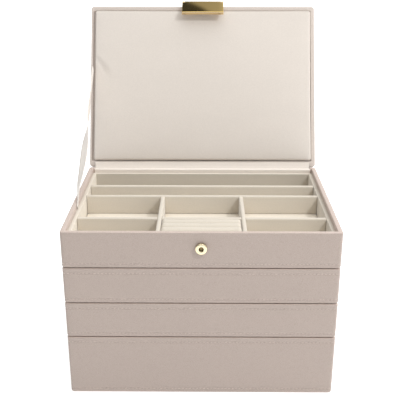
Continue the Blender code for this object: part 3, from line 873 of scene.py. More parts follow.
def softened_copy(node, name, bevel, material):
    """A copy of a CAD node, its points merged and its flat faces joined, with its edges bevelled."""
    same_point, same_plane, sharp = 0.000002, math.radians(2), math.radians(35)
    copy = bmesh.new()
    copy.from_mesh(frame["nodes"][node].data)
    bmesh.ops.remove_doubles(copy, verts=copy.verts, dist=same_point)
    bmesh.ops.dissolve_limit(copy, angle_limit=same_plane, verts=copy.verts, edges=copy.edges)
    mesh = bpy.data.meshes.new(name)
    copy.to_mesh(mesh)
    copy.free()
    mesh.materials.clear()
    mesh.polygons.foreach_set("use_smooth", np.ones(len(mesh.polygons), dtype=bool))
    piece = add_piece(mesh, body_of(node), material, [node])
    edges = piece.modifiers.new("worn_edges", "BEVEL")
    edges.width = bevel
    edges.segments = 2
    edges.limit_method = "ANGLE"
    edges.angle_limit = sharp
    edges.harden_normals = True
    return piece


def case_half(tier):
    """Half sizes of a tier's outer wall."""
    low, high = corners(f"{tier}_case")
    return tuple((high - low)[:2] / 2)


def wall_thickness(tier):
    """Thickness of a tier's wall: its base board stands inside it, a gap away."""
    return case_half(tier)[0] - (corners(f"{tier}_base")[1][0] + TRAY_GAP)


def stitch_levels(tier):
    """Heights of a tier's stitched rows: one near its lower edge and one near its upper edge.

    The lidded tray has only the lower one.
    """
    low, high = corners(f"{tier}_case")
    inset = bpy.context.scene.jewel_box_wrap.stitch_inset
    return [low[2] + inset] if tier == "top" else [low[2] + inset, high[2] - inset]


def wall_section(low, high, thickness, settings, levels):
    """Outline (outward, up) of a wrapped wall: rounded rims, and a shallow groove at each stitched row.

    A groove's depth is the cosine squared of the height from its row, over its half width.
    """
    rim, foot = settings.rim_round, settings.foot_round
    section = rounded_section((-thickness, low), (0.0, high), (foot, rim, rim, rim / 2))
    half_groove = settings.stitch_width * 1.6
    rows = np.asarray(levels, dtype=float)[:, None] + half_groove * np.linspace(-1, 1, 9)
    heights = np.unique(np.concatenate([np.linspace(low + foot, high - rim, 6)[1:-1], rows.ravel()]))
    nearest = np.min(np.abs(heights[:, None] - np.asarray(levels)), axis=1)
    depth = np.where(nearest < half_groove, np.cos(nearest / half_groove * math.pi / 2) ** 2, 0.0)
    face = np.stack([-settings.groove * depth, heights], -1)
    return np.insert(section, EDGE_STEPS + 1, face, axis=0)


def wrapped_wall(tier, settings):
    """A tier's leatherette wall: its section carried round the box.

    The lidded tray's rear rim is lowered between the ends of the hinge lining, which lies in it: by the
    notch's depth times a smooth step at each end and one from below up to the rim.
    """
    low, high = corners(f"{tier}_case")
    half, thickness = case_half(tier), wall_thickness(tier)
    foot = low[2] + (0.0 if tier == "deep" else settings.foot_gap)
    section = wall_section(foot, high[2], thickness, settings, stitch_levels(tier))
    marks = outline_marks(half, CASE_ROUND)
    spacing, corner_steps, clear = 0.006, 6, 0.0005
    step, ramp_foot, ramp_top = 0.0002, 0.0060, 0.0022
    notch_ends = []
    if tier == "top":
        reach = corners("hinge_lining")[1][0]
        steps = step * np.array([2, 1, -1, -2])
        notch_ends = [marks[1] + half[0] - CASE_ROUND - side * (reach + steps) for side in (1, -1)]
    lengths = outline_lengths(half, CASE_ROUND, spacing, corner_steps, np.ravel(notch_ends))
    plan, _ = outline_points(lengths, half, CASE_ROUND, -section[:, 0])
    level = np.broadcast_to(section[:, 1][:, None], plan.shape[:2]).copy()
    if tier == "top":
        lowered = settings.notch * (1 - smooth_share(np.abs(plan[..., 0]), reach - step, reach + step))
        near_rim = smooth_share(level, high[2] - ramp_foot, high[2] - ramp_top)
        rear = plan[..., 1] > half[1] - thickness - clear
        level -= np.where(rear, lowered * near_rim, 0.0)
    points = np.concatenate([plan, level[..., None]], -1)
    mesh = grid_mesh(f"{tier}_wrap", points, closed_rows=True, closed_columns=True)
    add_piece(mesh, TIERS[tier], wrap_finish(), [f"{tier}_case"])


def stitch_mesh(tubes):
    """Mesh of a row of short tubes, whose first and last rings are one point each.

    Quads join each ring to the next, and a fan of triangles joins each of the two tips to its ring.
    """
    count = len(tubes)
    body, ends = tubes[:, 1:-1].reshape(-1, 3), tubes[:, [0, -1], :1].reshape(-1, 3)
    index = np.arange(len(body)).reshape(count, STITCH_STATIONS, STITCH_SIDES)
    after = np.roll(index, -1, axis=2)
    quads = np.stack([index[:, :-1], after[:, :-1], after[:, 1:], index[:, 1:]], -1)
    tips = len(body) + np.arange(count * 2).reshape(count, 2, 1)
    first = np.stack([np.broadcast_to(tips[:, 0], after[:, 0].shape), after[:, 0], index[:, 0]], -1)
    last = np.stack([np.broadcast_to(tips[:, 1], after[:, 0].shape), index[:, -1], after[:, -1]], -1)
    return new_mesh("row", np.concatenate([body, ends]), [quads, np.concatenate([first, last])])


def stitching(tier, settings):
    """Rows of thread round a tier's wall, each stitch a short arched tube sunk at both ends.

    A stitch's centre line is the wall's outline over the stitch's length, lifted by an arch 1 - s^2 with
    s from -1 to 1, and its ellipse of a section shrinks by sqrt(1 - s^4) towards its ends.
    """
    half = case_half(tier)
    whole = outline_marks(half, CASE_ROUND)[-1]
    count = round(whole / settings.stitch_pitch)
    pitch = whole / count
    near_end, flatness = 0.82, 0.7
    share = np.concatenate([[-1.0], np.linspace(-near_end, near_end, STITCH_STATIONS), [1.0]])
    middles = (np.arange(count) + 0.5) * pitch
    lengths = (middles[:, None] + share * settings.stitch_length / 2) % whole
    plan, direction = outline_points(lengths.ravel(), half, CASE_ROUND, settings.groove)
    plan, direction = (part.reshape(count, len(share), 1, 2) for part in (plan, direction))
    around = np.linspace(0.0, 2 * math.pi, STITCH_SIDES, endpoint=False)
    width = settings.stitch_width / 2 * np.sqrt(1 - share ** 4)[:, None]
    lift = settings.stitch_rise * (1 - share ** 2)[:, None] + width * flatness * np.sin(around)
    side = plan + direction * lift[..., None]
    rows = []
    for level in stitch_levels(tier):
        height = np.broadcast_to(level + width * np.cos(around), side.shape[:-1])
        rows.append(stitch_mesh(np.concatenate([side, height[..., None]], -1)))
    add_piece(joined_meshes(f"{tier}_stitching", rows), TIERS[tier], thread_finish())


def lining_wall(tier, settings):
    """The cream strip that lines a tier's walls: a section with a round top carried round the inside.

    Its outer side is moved out to the wrapped wall, apart from a hair's breadth.
    """
    low, high = corners(f"{tier}_liner")
    half = tuple((high - low)[:2] / 2)
    thickness = half[0] - (corners(f"{tier}_floor")[1][0] + TRAY_GAP)
    edge, hair, spacing, corner_steps, almost_half = 0.0003, 0.0001, 0.01, 3, 0.49
    top = min(settings.top_round, thickness * almost_half)
    slot = case_half(tier)[0] - wall_thickness(tier) - half[0]
    section = rounded_section((-thickness, low[2]), (slot - hair, high[2]), (edge, edge, top, edge))
    lengths = outline_lengths(half, LINING_ROUND, spacing, corner_steps)
    plan, _ = outline_points(lengths, half, LINING_ROUND, -section[:, 0])
    level = np.broadcast_to(section[:, 1][:, None, None], plan.shape[:2] + (1,))
    mesh = grid_mesh(f"{tier}_lining_wall", np.concatenate([plan, level], -1), True, True)
    add_piece(mesh, TIERS[tier], wall_finish(), [f"{tier}_liner"])


def divider_nodes(tier):
    """Names of a tier's dividers."""
    return sorted(node for node in frame["nodes"] if node.startswith(f"{tier}_") and "divider" in node)


def floor_pad(tier, settings):
    """A tier's padded floor: pressed down along walls and dividers and a little crowned between them.

    Height = top + crown (1 - exp(-d / 5 mm)) - press exp(-d / 1 mm), d being the distance to the nearest
    wall or divider; the border is a round edge.
    """
    edge, crown_reach, press_reach, spacing = 0.0008, 0.005, 0.001, 0.009
    low, high = corners(f"{tier}_floor")
    half = (high - low)[:2] / 2
    boxes = [corners(node) for node in divider_nodes(tier)]
    offsets = np.array([-0.003, -0.0015, -0.0006, 0.0, 0.0006, 0.0015, 0.003])
    lines = []
    for axis in (0, 1):
        sides = [side[axis] for pair in boxes for side in pair]
        near = (np.array(sides)[:, None] + offsets).ravel()
        lines.append(border_lines(half[axis], edge, LINING_ROUND, spacing, near))
    x, y, border = plate_plan(*lines, half, LINING_ROUND)
    nearest = border
    for box_low, box_high in boxes:
        beside_x = np.maximum(past(x, box_low[0], box_high[0]), 0.0)
        beside_y = np.maximum(past(y, box_low[1], box_high[1]), 0.0)
        nearest = np.minimum(nearest, np.hypot(beside_x, beside_y))
    crown = settings.floor_crown * (1 - np.exp(-nearest / crown_reach))
    press = settings.floor_press * np.exp(-nearest / press_reach)
    upper = np.stack([x, y, high[2] + crown - press - edge_fall(border, edge)], -1)
    lower = np.stack([x, y, np.full(x.shape, low[2])], -1)
    mesh = plate_mesh(f"{tier}_floor_pad", upper, lower, np.stack([x, y], -1))
    pad = add_piece(mesh, TIERS[tier], floor_finish(), [f"{tier}_floor"])


def partition(node, settings):
    """A lined divider: a section with a soft round top carried from end to end, its foot in the floor pad."""
    low, high = corners(node)
    along_y = int(high[1] - low[1] > high[0] - low[0])
    foot_round, end_round = 0.0003, 0.0004
    rounds = (settings.divider_round, foot_round)
    points = bar_points(low, high, along_y, rounds, end_round, settings.floor_press)
    mesh = tube_mesh(node.replace("divider", "partition"), points)
    add_piece(mesh, body_of(node), divider_finish(), [node])


def ring_roll(number, settings):
    """A padded ring roll: a round-topped section carried along the width, its ends drawn in and gathered.

    Near an end the section shrinks like an ellipse over the draw, and folds of the gather show as a
    cosine round the section that fades away from the end. Its top sways a little by a sine along it.
    """
    foot, end_size, top_share, corner_steps, spacing = 0.0008, 0.80, 0.96, 9, 0.0025
    folds, fold_height, fold_reach = 9, 0.00016, 0.004
    sway_height, sway_length, sway_shift = 0.00010, 0.0085, 1.7
    node = f"ring_roll_{number}"
    low, high = corners(node)
    half = np.array([(high[1] - low[1]) / 2, (high[2] - low[2]) / 2])
    top = half[0] * top_share
    section = rounded_section(-half, half, (foot, top, top, foot), corner_steps)
    middle = (low + high) / 2
    length = (high[0] - low[0]) / 2
    stations = border_lines(length, settings.roll_draw, settings.roll_draw, spacing)
    from_end = length - np.abs(stations)
    left = np.clip(1 - from_end / settings.roll_draw, 0.0, 1.0)
    shrink = (end_size + (1 - end_size) * np.sqrt(1 - left ** 2))[:, None]
    around = np.arctan2(section[:, 1], section[:, 0])
    gather = fold_height * np.exp(-from_end / fold_reach)[:, None] * np.cos(folds * around + number)
    sway = sway_height * np.sin(stations / sway_length + sway_shift * number)[:, None] * (1 - left[:, None])
    side = section[:, 0] * shrink - gather * np.cos(around)
    level = section[:, 1] * shrink + (section[:, 1] > 0) * (sway - gather * np.sin(around))
    level += (shrink - 1) * half[1]
    points = carried(middle[0] + stations, middle[1] + side, middle[2] + level)
    mesh = tube_mesh(f"padded_roll_{number}", points)
    roll = add_piece(mesh, "top_tray", roll_finish(), [node])


def lid_board(settings):
    """The wrapped lid board: a plate with round corners and edges, turned open with the lid.

    Its inner face has a shallow recess for the cushion, which lies off centre in it: the depth falls to
    nothing by a smooth step of the distance outside the recess's outline.
    """
    low, high = shut_corners("lid_board")
    pad_low, pad_high = shut_corners("lid_pad")
    half, middle = (high - low)[:2] / 2, (high + low) / 2
    pad_half, pad_middle = (pad_high - pad_low)[:2] / 2, (pad_high + pad_low)[:2] / 2 - middle[:2]
    edge, spacing, step_half = settings.lid_edge, 0.012, 0.0003
    gaps = np.array(settings.lid_gaps).reshape(2, 2)
    recess_low, recess_high = pad_middle - pad_half - gaps[:, 0], pad_middle + pad_half + gaps[:, 1]
    steps = np.linspace(-step_half, step_half, 5)
    extra = [np.concatenate([recess_high[axis] + steps, recess_low[axis] - steps]) for axis in (0, 1)]
    lines = [border_lines(half[axis], edge, CASE_ROUND, spacing, extra[axis]) for axis in (0, 1)]
    x, y, border = plate_plan(*lines, half, CASE_ROUND)
    fall = edge_fall(border, edge)
    outside = np.maximum(past(x, recess_low[0], recess_high[0]), past(y, recess_low[1], recess_high[1]))
    recess = settings.lid_recess * (1 - smooth_share(outside, steps[0], steps[-1]))
    upper = np.stack([x + middle[0], y + middle[1], high[2] - fall], -1)
    lower = np.stack([x + middle[0], y + middle[1], low[2] + fall + recess], -1)
    mesh = plate_mesh("lid_wrap", opened(upper), opened(lower), np.stack([x, y], -1))
    add_piece(mesh, "lid", lid_finish(), ["lid_board"])


def pulled_fold(x, y, settings):
    """The fold where the ribbon pulls the cushion's cloth, 1 at the bottom of its valley.

    Across the fold it is a bell, less a lower and wider bell beside it, both of which spread on the way
    down; along the fold it comes and goes by smooth steps.
    """
    start, end = np.array(settings.fold_start), np.array(settings.fold_end)
    length = np.linalg.norm(end - start)
    way = (end - start) / length
    from_x, from_y = x - start[0], y - start[1]
    down, beside = from_x * way[0] + from_y * way[1], from_y * way[0] - from_x * way[1]
    fading, gone = length * 0.35, length * 1.3
    narrow, widening, ridge, ridge_place, ridge_width = 0.0020, 0.10, 0.45, 2.0, 1.3
    rising, full = -0.004, 0.003
    reach = smooth_share(down, rising, full) * (1 - smooth_share(down, fading, gone))
    spread = narrow + widening * np.clip(down, 0.0, gone)
    valley = np.exp(-(beside / spread) ** 2)
    beside_it = np.exp(-((beside - ridge_place * spread) / (ridge_width * spread)) ** 2)
    return reach * (valley - ridge * beside_it)


def cushion_swell(x, y, half, border, settings):
    """Height of the lid cushion's face over its edge: crown, slow waves, puckers and the ribbon's fold.

    Crown is c (1 - exp(-d / 7 mm)), d being the distance from the border, and the hinge end falls away by
    a further exponential. The slow waves are products and sums of sines, away from the border. The
    puckers are a sine along the border that fades inwards.
    """
    crown_reach, edge_reach = 0.007, 0.0045
    pucker, pucker_drift, drifting = 0.0026, 0.017, 1.3
    swell_x, swell_y, slant_x, slant_y, slant = 0.023, 0.031, 0.041, 0.027, 0.6
    calm, swelling = 0.004, 0.03
    crown = settings.crown * (1 - np.exp(-border / crown_reach))
    crown -= settings.hinge_fall * np.exp(-(y + half[1]) / edge_reach)
    slow = np.sin(x / swell_x + 0.6) * np.sin(y / swell_y + 1.1) + slant * np.sin(x / slant_x - y / slant_y)
    slow *= settings.unevenness * smooth_share(border, calm, swelling)
    along = np.where(np.abs(x) / half[0] > np.abs(y) / half[1], y, x)
    wave = np.sin(along / pucker + drifting * np.sin(along / pucker_drift))
    gathered = wave * np.exp(-border / edge_reach)
    return crown + slow + settings.pucker * gathered - settings.fold * pulled_fold(x, y, settings)


def lid_cushion(settings):
    """The lid's padded lining: a crowned cushion with pulled-in sides on the board's inner face.

    It is worked out facing up, with Y from the hinge to the front, and then laid face down on the shut
    lid. Its grid is finer round the fold. A side is drawn in most in its middle, by 1 - s^2, and only
    near the border, by the ninth power of the share of the way out.
    """
    low, high = shut_corners("lid_pad")
    half, middle = (high - low)[:2] / 2 + np.array([settings.wider, 0.0]), (high + low) / 2
    edge, hidden_edge, spacing, fold_lines = settings.edge_round, 0.0004, 0.004, 24
    fold_x = np.linspace(settings.fold_start[0] - 0.004, settings.fold_end[0] + 0.012, fold_lines)
    fold_y = np.linspace(settings.fold_end[1] - 0.012, settings.fold_start[1] + 0.010, fold_lines)
    lines_x = border_lines(half[0], edge, settings.corner, spacing, fold_x)
    lines_y = border_lines(half[1], edge, settings.corner, spacing, fold_y)
    x, y, border = plate_plan(lines_x, lines_y, half, settings.corner)
    thick = (high - low)[2] + settings.fuller - settings.crown
    height = thick + cushion_swell(x, y, half, border, settings) - edge_fall(border, edge)
    across, along = x / half[0], y / half[1]
    draw_x = settings.draw * np.sign(across) * np.abs(across) ** 9 * (1 - along ** 2)
    draw_y = settings.draw * np.sign(along) * np.abs(along) ** 9 * (1 - across ** 2)
    plan = (middle[0] + (x - draw_x), middle[1] - (y - draw_y))
    recess = bpy.context.scene.jewel_box_wrap.lid_recess
    upper = np.stack([*plan, high[2] - height], -1)
    lower = np.stack([*plan, high[2] + recess - edge_fall(border, hidden_edge)], -1)
    mesh = plate_mesh("lid_cushion", opened(upper), opened(lower), np.stack([x, y], -1))
    cushion = add_piece(mesh, "lid", cushion_finish(), ["lid_pad"])


def hinge_lining(settings):
    """Lining cloth over the rear rim: a thin section about a path in Y and Z, carried along the width.

    The path goes from the lid over the lowered rim and down inside the tray, its bends smoothed, and its
    level has a faint sine along the width.
    """
    half_width = corners("hinge_lining")[1][0]
    cloth, hair, clear = settings.cloth, 0.0001, 0.0003
    spacing, bend_round, station_spacing = 0.0002, 0.0006, 0.004
    ripple_height, ripple_length = 0.00008, 0.011
    from_hinge, on_rim, over_edge, tucked = (0.0054, 0.0014), 0.0012, 0.0002, 0.0015
    inner = case_half("top")[1] - wall_thickness("top")
    under = HINGE_LINE[1] - hair - cloth / 2
    on_lid = opened(np.array([[0.0, HINGE_LINE[0] - inset, under] for inset in from_hinge]))[:, 1:]
    level = corners("top_case")[1][2] - bpy.context.scene.jewel_box_wrap.notch + cloth / 2 + hair
    drop = inner - cloth / 2 - clear
    bends = [*on_lid, (case_half("top")[1] - on_rim, level), (drop, level - over_edge),
             (drop, corners("top_liner")[1][2] - tucked)]
    path = smoothed_path(bends, spacing, bend_round)
    section = strip_section(path, cloth)
    lengths = path_lengths(path)
    stations = border_lines(half_width, STRIP_END, STRIP_END, station_spacing)
    ripple = ripple_height * np.sin(stations / ripple_length)[:, None]
    points = carried(stations, section[:, 0], section[:, 1] + ripple)
    around = np.concatenate([lengths, lengths[::-1], lengths[:1]])
    mesh = tube_mesh("hinge_lining_cloth", points, (around, stations))
    lining = add_piece(mesh, None, hinge_finish(), ["hinge_lining"])
    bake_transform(lining)


def hinge_spine(settings):
    """Leatherette strip behind the hinge: a straight upright path turned with the lid above the hinge.

    The turn grows by a smooth step of the height.
    """
    low, high = corners("hinge_spine")
    above, turn_below, turn_above, spacing = 0.0072, 0.0010, 0.0016, 0.012
    behind = HINGE_LINE[0] + settings.cloth / 2
    heights = np.linspace(low[2], HINGE_LINE[1] + above, SPINE_STATIONS)
    straight = np.stack([np.zeros(SPINE_STATIONS), np.full(SPINE_STATIONS, behind), heights], -1)
    turn = -LID_TURN * smooth_share(heights, HINGE_LINE[1] - turn_below, HINGE_LINE[1] + turn_above)
    section = strip_section(turned(straight, HINGE_LINE, turn)[:, 1:], settings.cloth)
    stations = border_lines(high[0], STRIP_END, STRIP_END, spacing)
    mesh = tube_mesh("hinge_back_strip", carried(stations, section[:, 0], section[:, 1]))
    strip = add_piece(mesh, None, wrap_finish(), ["hinge_spine"])
    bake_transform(strip)


def ribbon_twist(share, settings):
    """Turn of the ribbon's width at shares of the way up: a bell, plus a small wave away from the ends."""
    twist = settings.twist * np.exp(-((share - settings.twist_at) / settings.twist_spread) ** 2)
    wave, waves = math.radians(7), 17
    away = smooth_share(share, 0.1, 0.25) * (1 - smooth_share(share, 0.8, 1))
    return twist + wave * np.sin(share * waves) * away


def stay_ribbon(settings):
    """The ribbon that stops the lid: a flat band along a gently bowed line, twisted on its way.

    Its centre line is the straight line from the slit to the lid plus a sideways bow interpolated along
    it and smoothed; its width turns by the twist, and it is cupped by 1 - s^2 across its width.
    """
    low, high = corners("stay_ribbon")
    foot_inset, top_inset = 0.0030, (0.0026, 0.0036)
    smoothing, lines_across, cup_share = 11, 7, 0.05
    lower = np.array([(low[0] + high[0]) / 2, low[1] + foot_inset, low[2] + foot_inset])
    upper = np.array([lower[0], high[1] - top_inset[0], high[2] - top_inset[1]])
    share = np.linspace(0.0, 1.0, RIBBON_STATIONS)
    whole = float(np.linalg.norm(upper - lower))
    way = (upper - lower) / whole
    sideways = np.array([1.0, 0.0, 0.0])
    bow = np.pad(np.interp(share, settings.bow_at, settings.bow), smoothing // 2, mode="edge")
    centre = lower + share[:, None] * (upper - lower)
    centre[:, 0] += np.convolve(bow, np.full(smoothing, 1 / smoothing), mode="valid")
    twist = ribbon_twist(share, settings)[:, None]
    across = np.cross(sideways, way) * np.cos(twist) + sideways * np.sin(twist)
    normal = np.cross(way, across)
    sides = np.linspace(-0.5, 0.5, lines_across) * settings.width
    cup = settings.width * cup_share * (1 - (2 * sides / settings.width) ** 2)
    section = np.concatenate([np.stack([sides[::-1], cup[::-1] + settings.cloth / 2], -1),
                              np.stack([sides, cup - settings.cloth / 2], -1)])
    points = centre[:, None] + section[:, 0, None] * across[:, None] + section[:, 1, None] * normal[:, None]
    around = np.concatenate([section[:, 0], section[:1, 0]])
    mesh = tube_mesh("stay_ribbon_band", points, (around, share * whole))
    ribbon = add_piece(mesh, None, ribbon_finish(), ["stay_ribbon"])
    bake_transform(ribbon)


def clasp_plate(low, high, settings):
    """The flap's plate, hanging: a strip of even thickness about a path that goes down and bends in.

    It is narrower above its shoulder, its side edges are rounded by thinning the strip near them, and its
    middle stands out by a sine down it and by 1 - s^2 across it.
    """
    pin_z = PIN_SHUT[1]
    plate, side_round, spacing = settings.plate, 0.00032, 0.00018
    shoulder, ear, below_pin, short_of, least = 0.0024, 0.0023, 0.0002, 0.1, 0.18
    outer, tip, half_x = low[1] + plate / 2, low[2] + plate / 2, high[0]
    bends = [(outer, pin_z - below_pin), (outer, tip), (high[1] - plate * short_of, tip)]
    path = smoothed_path(bends, spacing, settings.bend)
    path[:, 0] -= settings.crown * np.sin(np.clip((path[:, 1] - tip) / (pin_z - tip), 0, 1) * math.pi)
    from_side = side_round * (1 - np.cos(np.linspace(0.0, math.pi / 2, 5)))
    inside = np.linspace(-half_x, half_x, 9)[1:-1]
    stations = np.concatenate([-half_x + from_side, inside, half_x - from_side[::-1]])[:, None]
    thin = edge_fall(half_x - np.abs(stations), side_round)
    half = np.maximum(plate / 2 - thin, plate * least)
    narrow = 1 - ear / half_x * (path[:, 1] > pin_z - shoulder)
    normal = path_normals(path)
    both, width = np.concatenate([path, path[::-1]]), np.concatenate([narrow, narrow[::-1]])
    aside = np.concatenate([normal, -normal[::-1]])
    y = both[:, 0] + aside[:, 0] * half - settings.bulge * (1 - (stations / half_x) ** 2)
    return np.stack([stations * width, y, both[:, 1] + aside[:, 1] * half], -1), half_x - ear


def clasp_flap(settings):
    """The gold flap: its bent plate and its rolled barrel, worked out hanging and turned to rest."""
    points = turned(shut(node_points("clasp_flap")), PIN_SHUT, -FLAP_TURN)
    low, high = points.min(0), points.max(0)
    plate, reach = clasp_plate(low, high, settings)
    end_round, spacing = 0.0003, 0.006
    angles = np.linspace(0.0, 2 * math.pi, BARREL_STEPS, endpoint=False)
    stations = border_lines(reach, end_round, end_round, spacing)
    radius = PIN_SHUT[0] - low[1] - edge_fall(reach - np.abs(stations), end_round)[:, None]
    barrel = carried(stations, PIN_SHUT[0] + radius * np.cos(angles), PIN_SHUT[1] + radius * np.sin(angles))
    mesh = joined_meshes("clasp_plate", [tube_mesh("part", flap_at_rest(part)) for part in (plate, barrel)])
    add_piece(mesh, "clasp_flap", gold_finish(), ["clasp_flap"])


def stud(settings):
    """The gold eyelet on the front wall: a flat ring with rounded edges, turned about Y.

    Its face is a gentle arch from the outer edge to the mouth, where it rolls in.
    """
    low, high = corners("stud_ring")
    centre = ((low[0] + high[0]) / 2, high[1], (low[2] + high[2]) / 2)
    radius, proud = (high[0] - low[0]) / 2, high[1] - low[1]
    mouth, edge, roll, arch = settings.stud_mouth, 0.0009, 0.0006, 0.00012
    angle = np.linspace(0.0, math.pi / 2, 6)
    share = np.linspace(0.0, 1.0, 7)[1:-1]
    level = proud - arch
    outer = np.stack([radius - edge + edge * np.cos(angle), level - edge + edge * np.sin(angle)], -1)
    inner = np.stack([mouth + roll - roll * np.sin(angle), level - roll + roll * np.cos(angle)], -1)
    way_in = radius - edge + share * (mouth + roll - radius + edge)
    face = np.stack([way_in, level + 4 * arch * share * (1 - share)], -1)
    profile = np.concatenate([[(radius, 0.0)], outer, face, inner, [(mouth, 0.0)]])
    add_piece(turned_mesh("stud_eyelet", profile, centre), "top_tray", stud_finish(), ["stud_ring"])


# Settings


def a_length(name, description, default):
    """A setting that is a length."""
    return bpy.props.FloatProperty(name=name, description=description, subtype="DISTANCE", default=default)


def a_colour(name, description, default):
    """A setting that is a colour."""
    return bpy.props.FloatVectorProperty(
        name=name, description=description, subtype="COLOR", default=default, min=0, max=1)


def an_amount(name, description, default):
    """A setting that is a plain number from 0 up."""
    return bpy.props.FloatProperty(name=name, description=description, default=default, min=0)


def a_share(name, description, default):
    """A setting from 0 to 1."""
    return bpy.props.FloatProperty(
        name=name, description=description, subtype="FACTOR", default=default, min=0, max=1)


def an_angle(name, description, degrees):
    """A setting that is an angle."""
    return bpy.props.FloatProperty(
        name=name, description=description, subtype="ANGLE", default=math.radians(degrees))


def a_place(name, description, default):
    """A setting that is a place in the frame."""
    return bpy.props.FloatVectorProperty(
        name=name, description=description, subtype="TRANSLATION", default=default)


class WrapSettings(bpy.types.PropertyGroup):
    """Leatherette and its stitching."""
    colour: a_colour(
        "Leatherette colour", "Colour of the wrapped walls and the lid board", (0.422, 0.350, 0.311))
    thread_colour: a_colour("Thread colour", "Colour of the stitches", (0.490, 0.413, 0.368))
    grain: a_length("Grain size", "Width of one pebble of the grain", 0.0011)
    rim_round: a_length("Rim rounding", "Radius of the wrapped rims", 0.0008)
    foot_round: a_length("Foot rounding", "Radius of a wall's lower outer edge", 0.0021)
    # Painted light: the leatherette is made paler on the rims that face up and on the walls' inner faces.
    rim_painted_light: an_amount(
        "Rim paleness", "How much paler the leatherette is where it is stretched over a rim", 1.48)
    foot_gap: a_length("Foot gap", "How far a tray's wrapped edge stays clear of the tier below", 0.00035)
    # Painted light: the lid's colour is a paler leatherette on its half that shuts on the tray.
    lid_painted_light_colour: a_colour("Lid colour", "Colour of the leatherette round the lid board", (0.612, 0.541, 0.489))
    lid_edge: a_length("Lid rounding", "Radius of the lid board's edges", 0.0007)
    lid_recess: a_length("Lid recess", "Depth of the recess that holds the lid's cushion", 0.0020)
    lid_gaps: bpy.props.FloatVectorProperty(
        name="Lid gaps",
        description="How much wider the recess is than the packed cushion: left, right, front, hinge",
        size=4, unit="LENGTH", default=(0.0034, 0.0012, 0.0004, 0.0005))
    groove: a_length("Groove depth", "How far the thread pulls the leatherette in", 0.00030)
    notch: a_length("Rear notch", "How far the rear rim is lowered for the hinge lining", 0.0016)
    stitch_inset: a_length("Row inset", "Distance of a stitched row from the tier's edge", 0.0047)
    stitch_pitch: a_length("Stitch pitch", "Distance from one stitch to the next", 0.0034)
    stitch_length: a_length("Stitch length", "Length of a stitch", 0.0022)
    stitch_width: a_length("Thread width", "Width of the thread", 0.00095)
    stitch_rise: a_length("Stitch rise", "Height of a stitch's arch over its groove", 0.00014)


class LiningSettings(bpy.types.PropertyGroup):
    """Lining cloth of the compartments, and the ring rolls."""
    colour: a_colour("Lining colour", "Colour of the lining cloth", (0.672, 0.616, 0.530))
    # Painted light and shade: these tones lighten or darken the cloth by the way each face turns.
    side_painted_light: an_amount("Side wall tone", "Tone of the left wall's cloth against its colour", 1.14)
    rear_painted_shade: an_amount("Rear wall tone", "Tone of the rear wall's cloth against its colour", 0.77)
    floor_painted_light: an_amount("Floor tone", "Tone of the floors' cloth against its colour", 1.17)
    top_painted_light: an_amount("Top tone", "Tone of the cloth over walls' and dividers' tops", 1.0)
    top_round: a_length("Strip rounding", "Radius of the lining strip's top", 0.0011)
    divider_round: a_length("Divider rounding", "Radius of a divider's top edges", 0.0014)
    floor_crown: a_length("Floor crown", "Rise of a floor pad between the dividers", 0.0003)
    floor_press: a_length("Floor press", "How far walls and dividers press the floor pad down", 0.0003)
    roll_draw: a_length("Roll draw", "Length over which a ring roll's end is drawn in", 0.0032)


class CushionSettings(bpy.types.PropertyGroup):
    """The lid's padded lining."""
    colour: a_colour("Cushion colour", "Colour of the lid's lining cloth", (0.655, 0.600, 0.545))
    crown: a_length("Crown", "Rise of the cushion's middle over its sides", 0.0010)
    fuller: a_length("Thickness added", "How much thicker the padding is than its packed size", 0.00015)
    hinge_fall: a_length("Hinge-end fall", "How far the padding falls away at the hinge end", 0.0009)
    wider: a_length("Fullness", "How far the padding stands past the packed size on each side", 0.0009)
    edge_round: a_length("Edge rounding", "Radius of the cushion's edge", 0.0017)
    corner: a_length("Corner rounding", "Radius of the cushion's corners, seen from the front", 0.0022)
    draw: a_length("Drawn-in sides", "How far the sides pull in between the corners", 0.0003)
    unevenness: a_length("Unevenness", "Height of the slow waves in the padding", 0.00014)
    pucker: a_length("Puckers", "Height of the small gathers along the edge", 0.00005)
    fold: a_length("Fold depth", "Depth of the fold where the ribbon pulls the cloth", 0.0009)
    fold_start: bpy.props.FloatVectorProperty(
        name="Fold start", description="Where the fold starts, from the cushion's middle",
        size=2, subtype="XYZ_LENGTH", default=(-0.1190, 0.0310))
    fold_end: bpy.props.FloatVectorProperty(
        name="Fold end", description="Where the fold fades out, from the cushion's middle",
        size=2, subtype="XYZ_LENGTH", default=(-0.1030, 0.0060))


class RibbonSettings(bpy.types.PropertyGroup):
    """The hinge's cloth strips and the stay ribbon."""
    colour: a_colour("Ribbon colour", "Colour of the stay ribbon", (0.80, 0.75, 0.69))
    width: a_length("Ribbon width", "Width of the stay ribbon", 0.009)
    cloth: a_length("Cloth thickness", "Thickness of the strips and the ribbon", 0.0006)
    rib: a_length("Rib pitch", "Distance from one woven rib to the next", 0.0007)
    twist: an_angle("Twist", "How far the ribbon turns at its most twisted place", 58)
    twist_spread: an_amount("Twist spread", "Share of the way over which the twist fades", 0.20)
    twist_at: a_share("Twist place", "Where the twist is greatest, as a share from the slit up", 0.32)
    bow_at: bpy.props.FloatVectorProperty(
        name="Bow places", description="Shares of the way up at which the bow is given", size=8,
        default=(0.0, 0.11, 0.18, 0.25, 0.34, 0.52, 0.72, 1.0))
    bow: bpy.props.FloatVectorProperty(
        name="Bow", description="Sideways shift of the ribbon at those places", size=8, unit="LENGTH",
        default=(0.0, -0.0016, -0.0016, -0.0008, -0.0004, -0.0006, -0.0010, -0.0020))


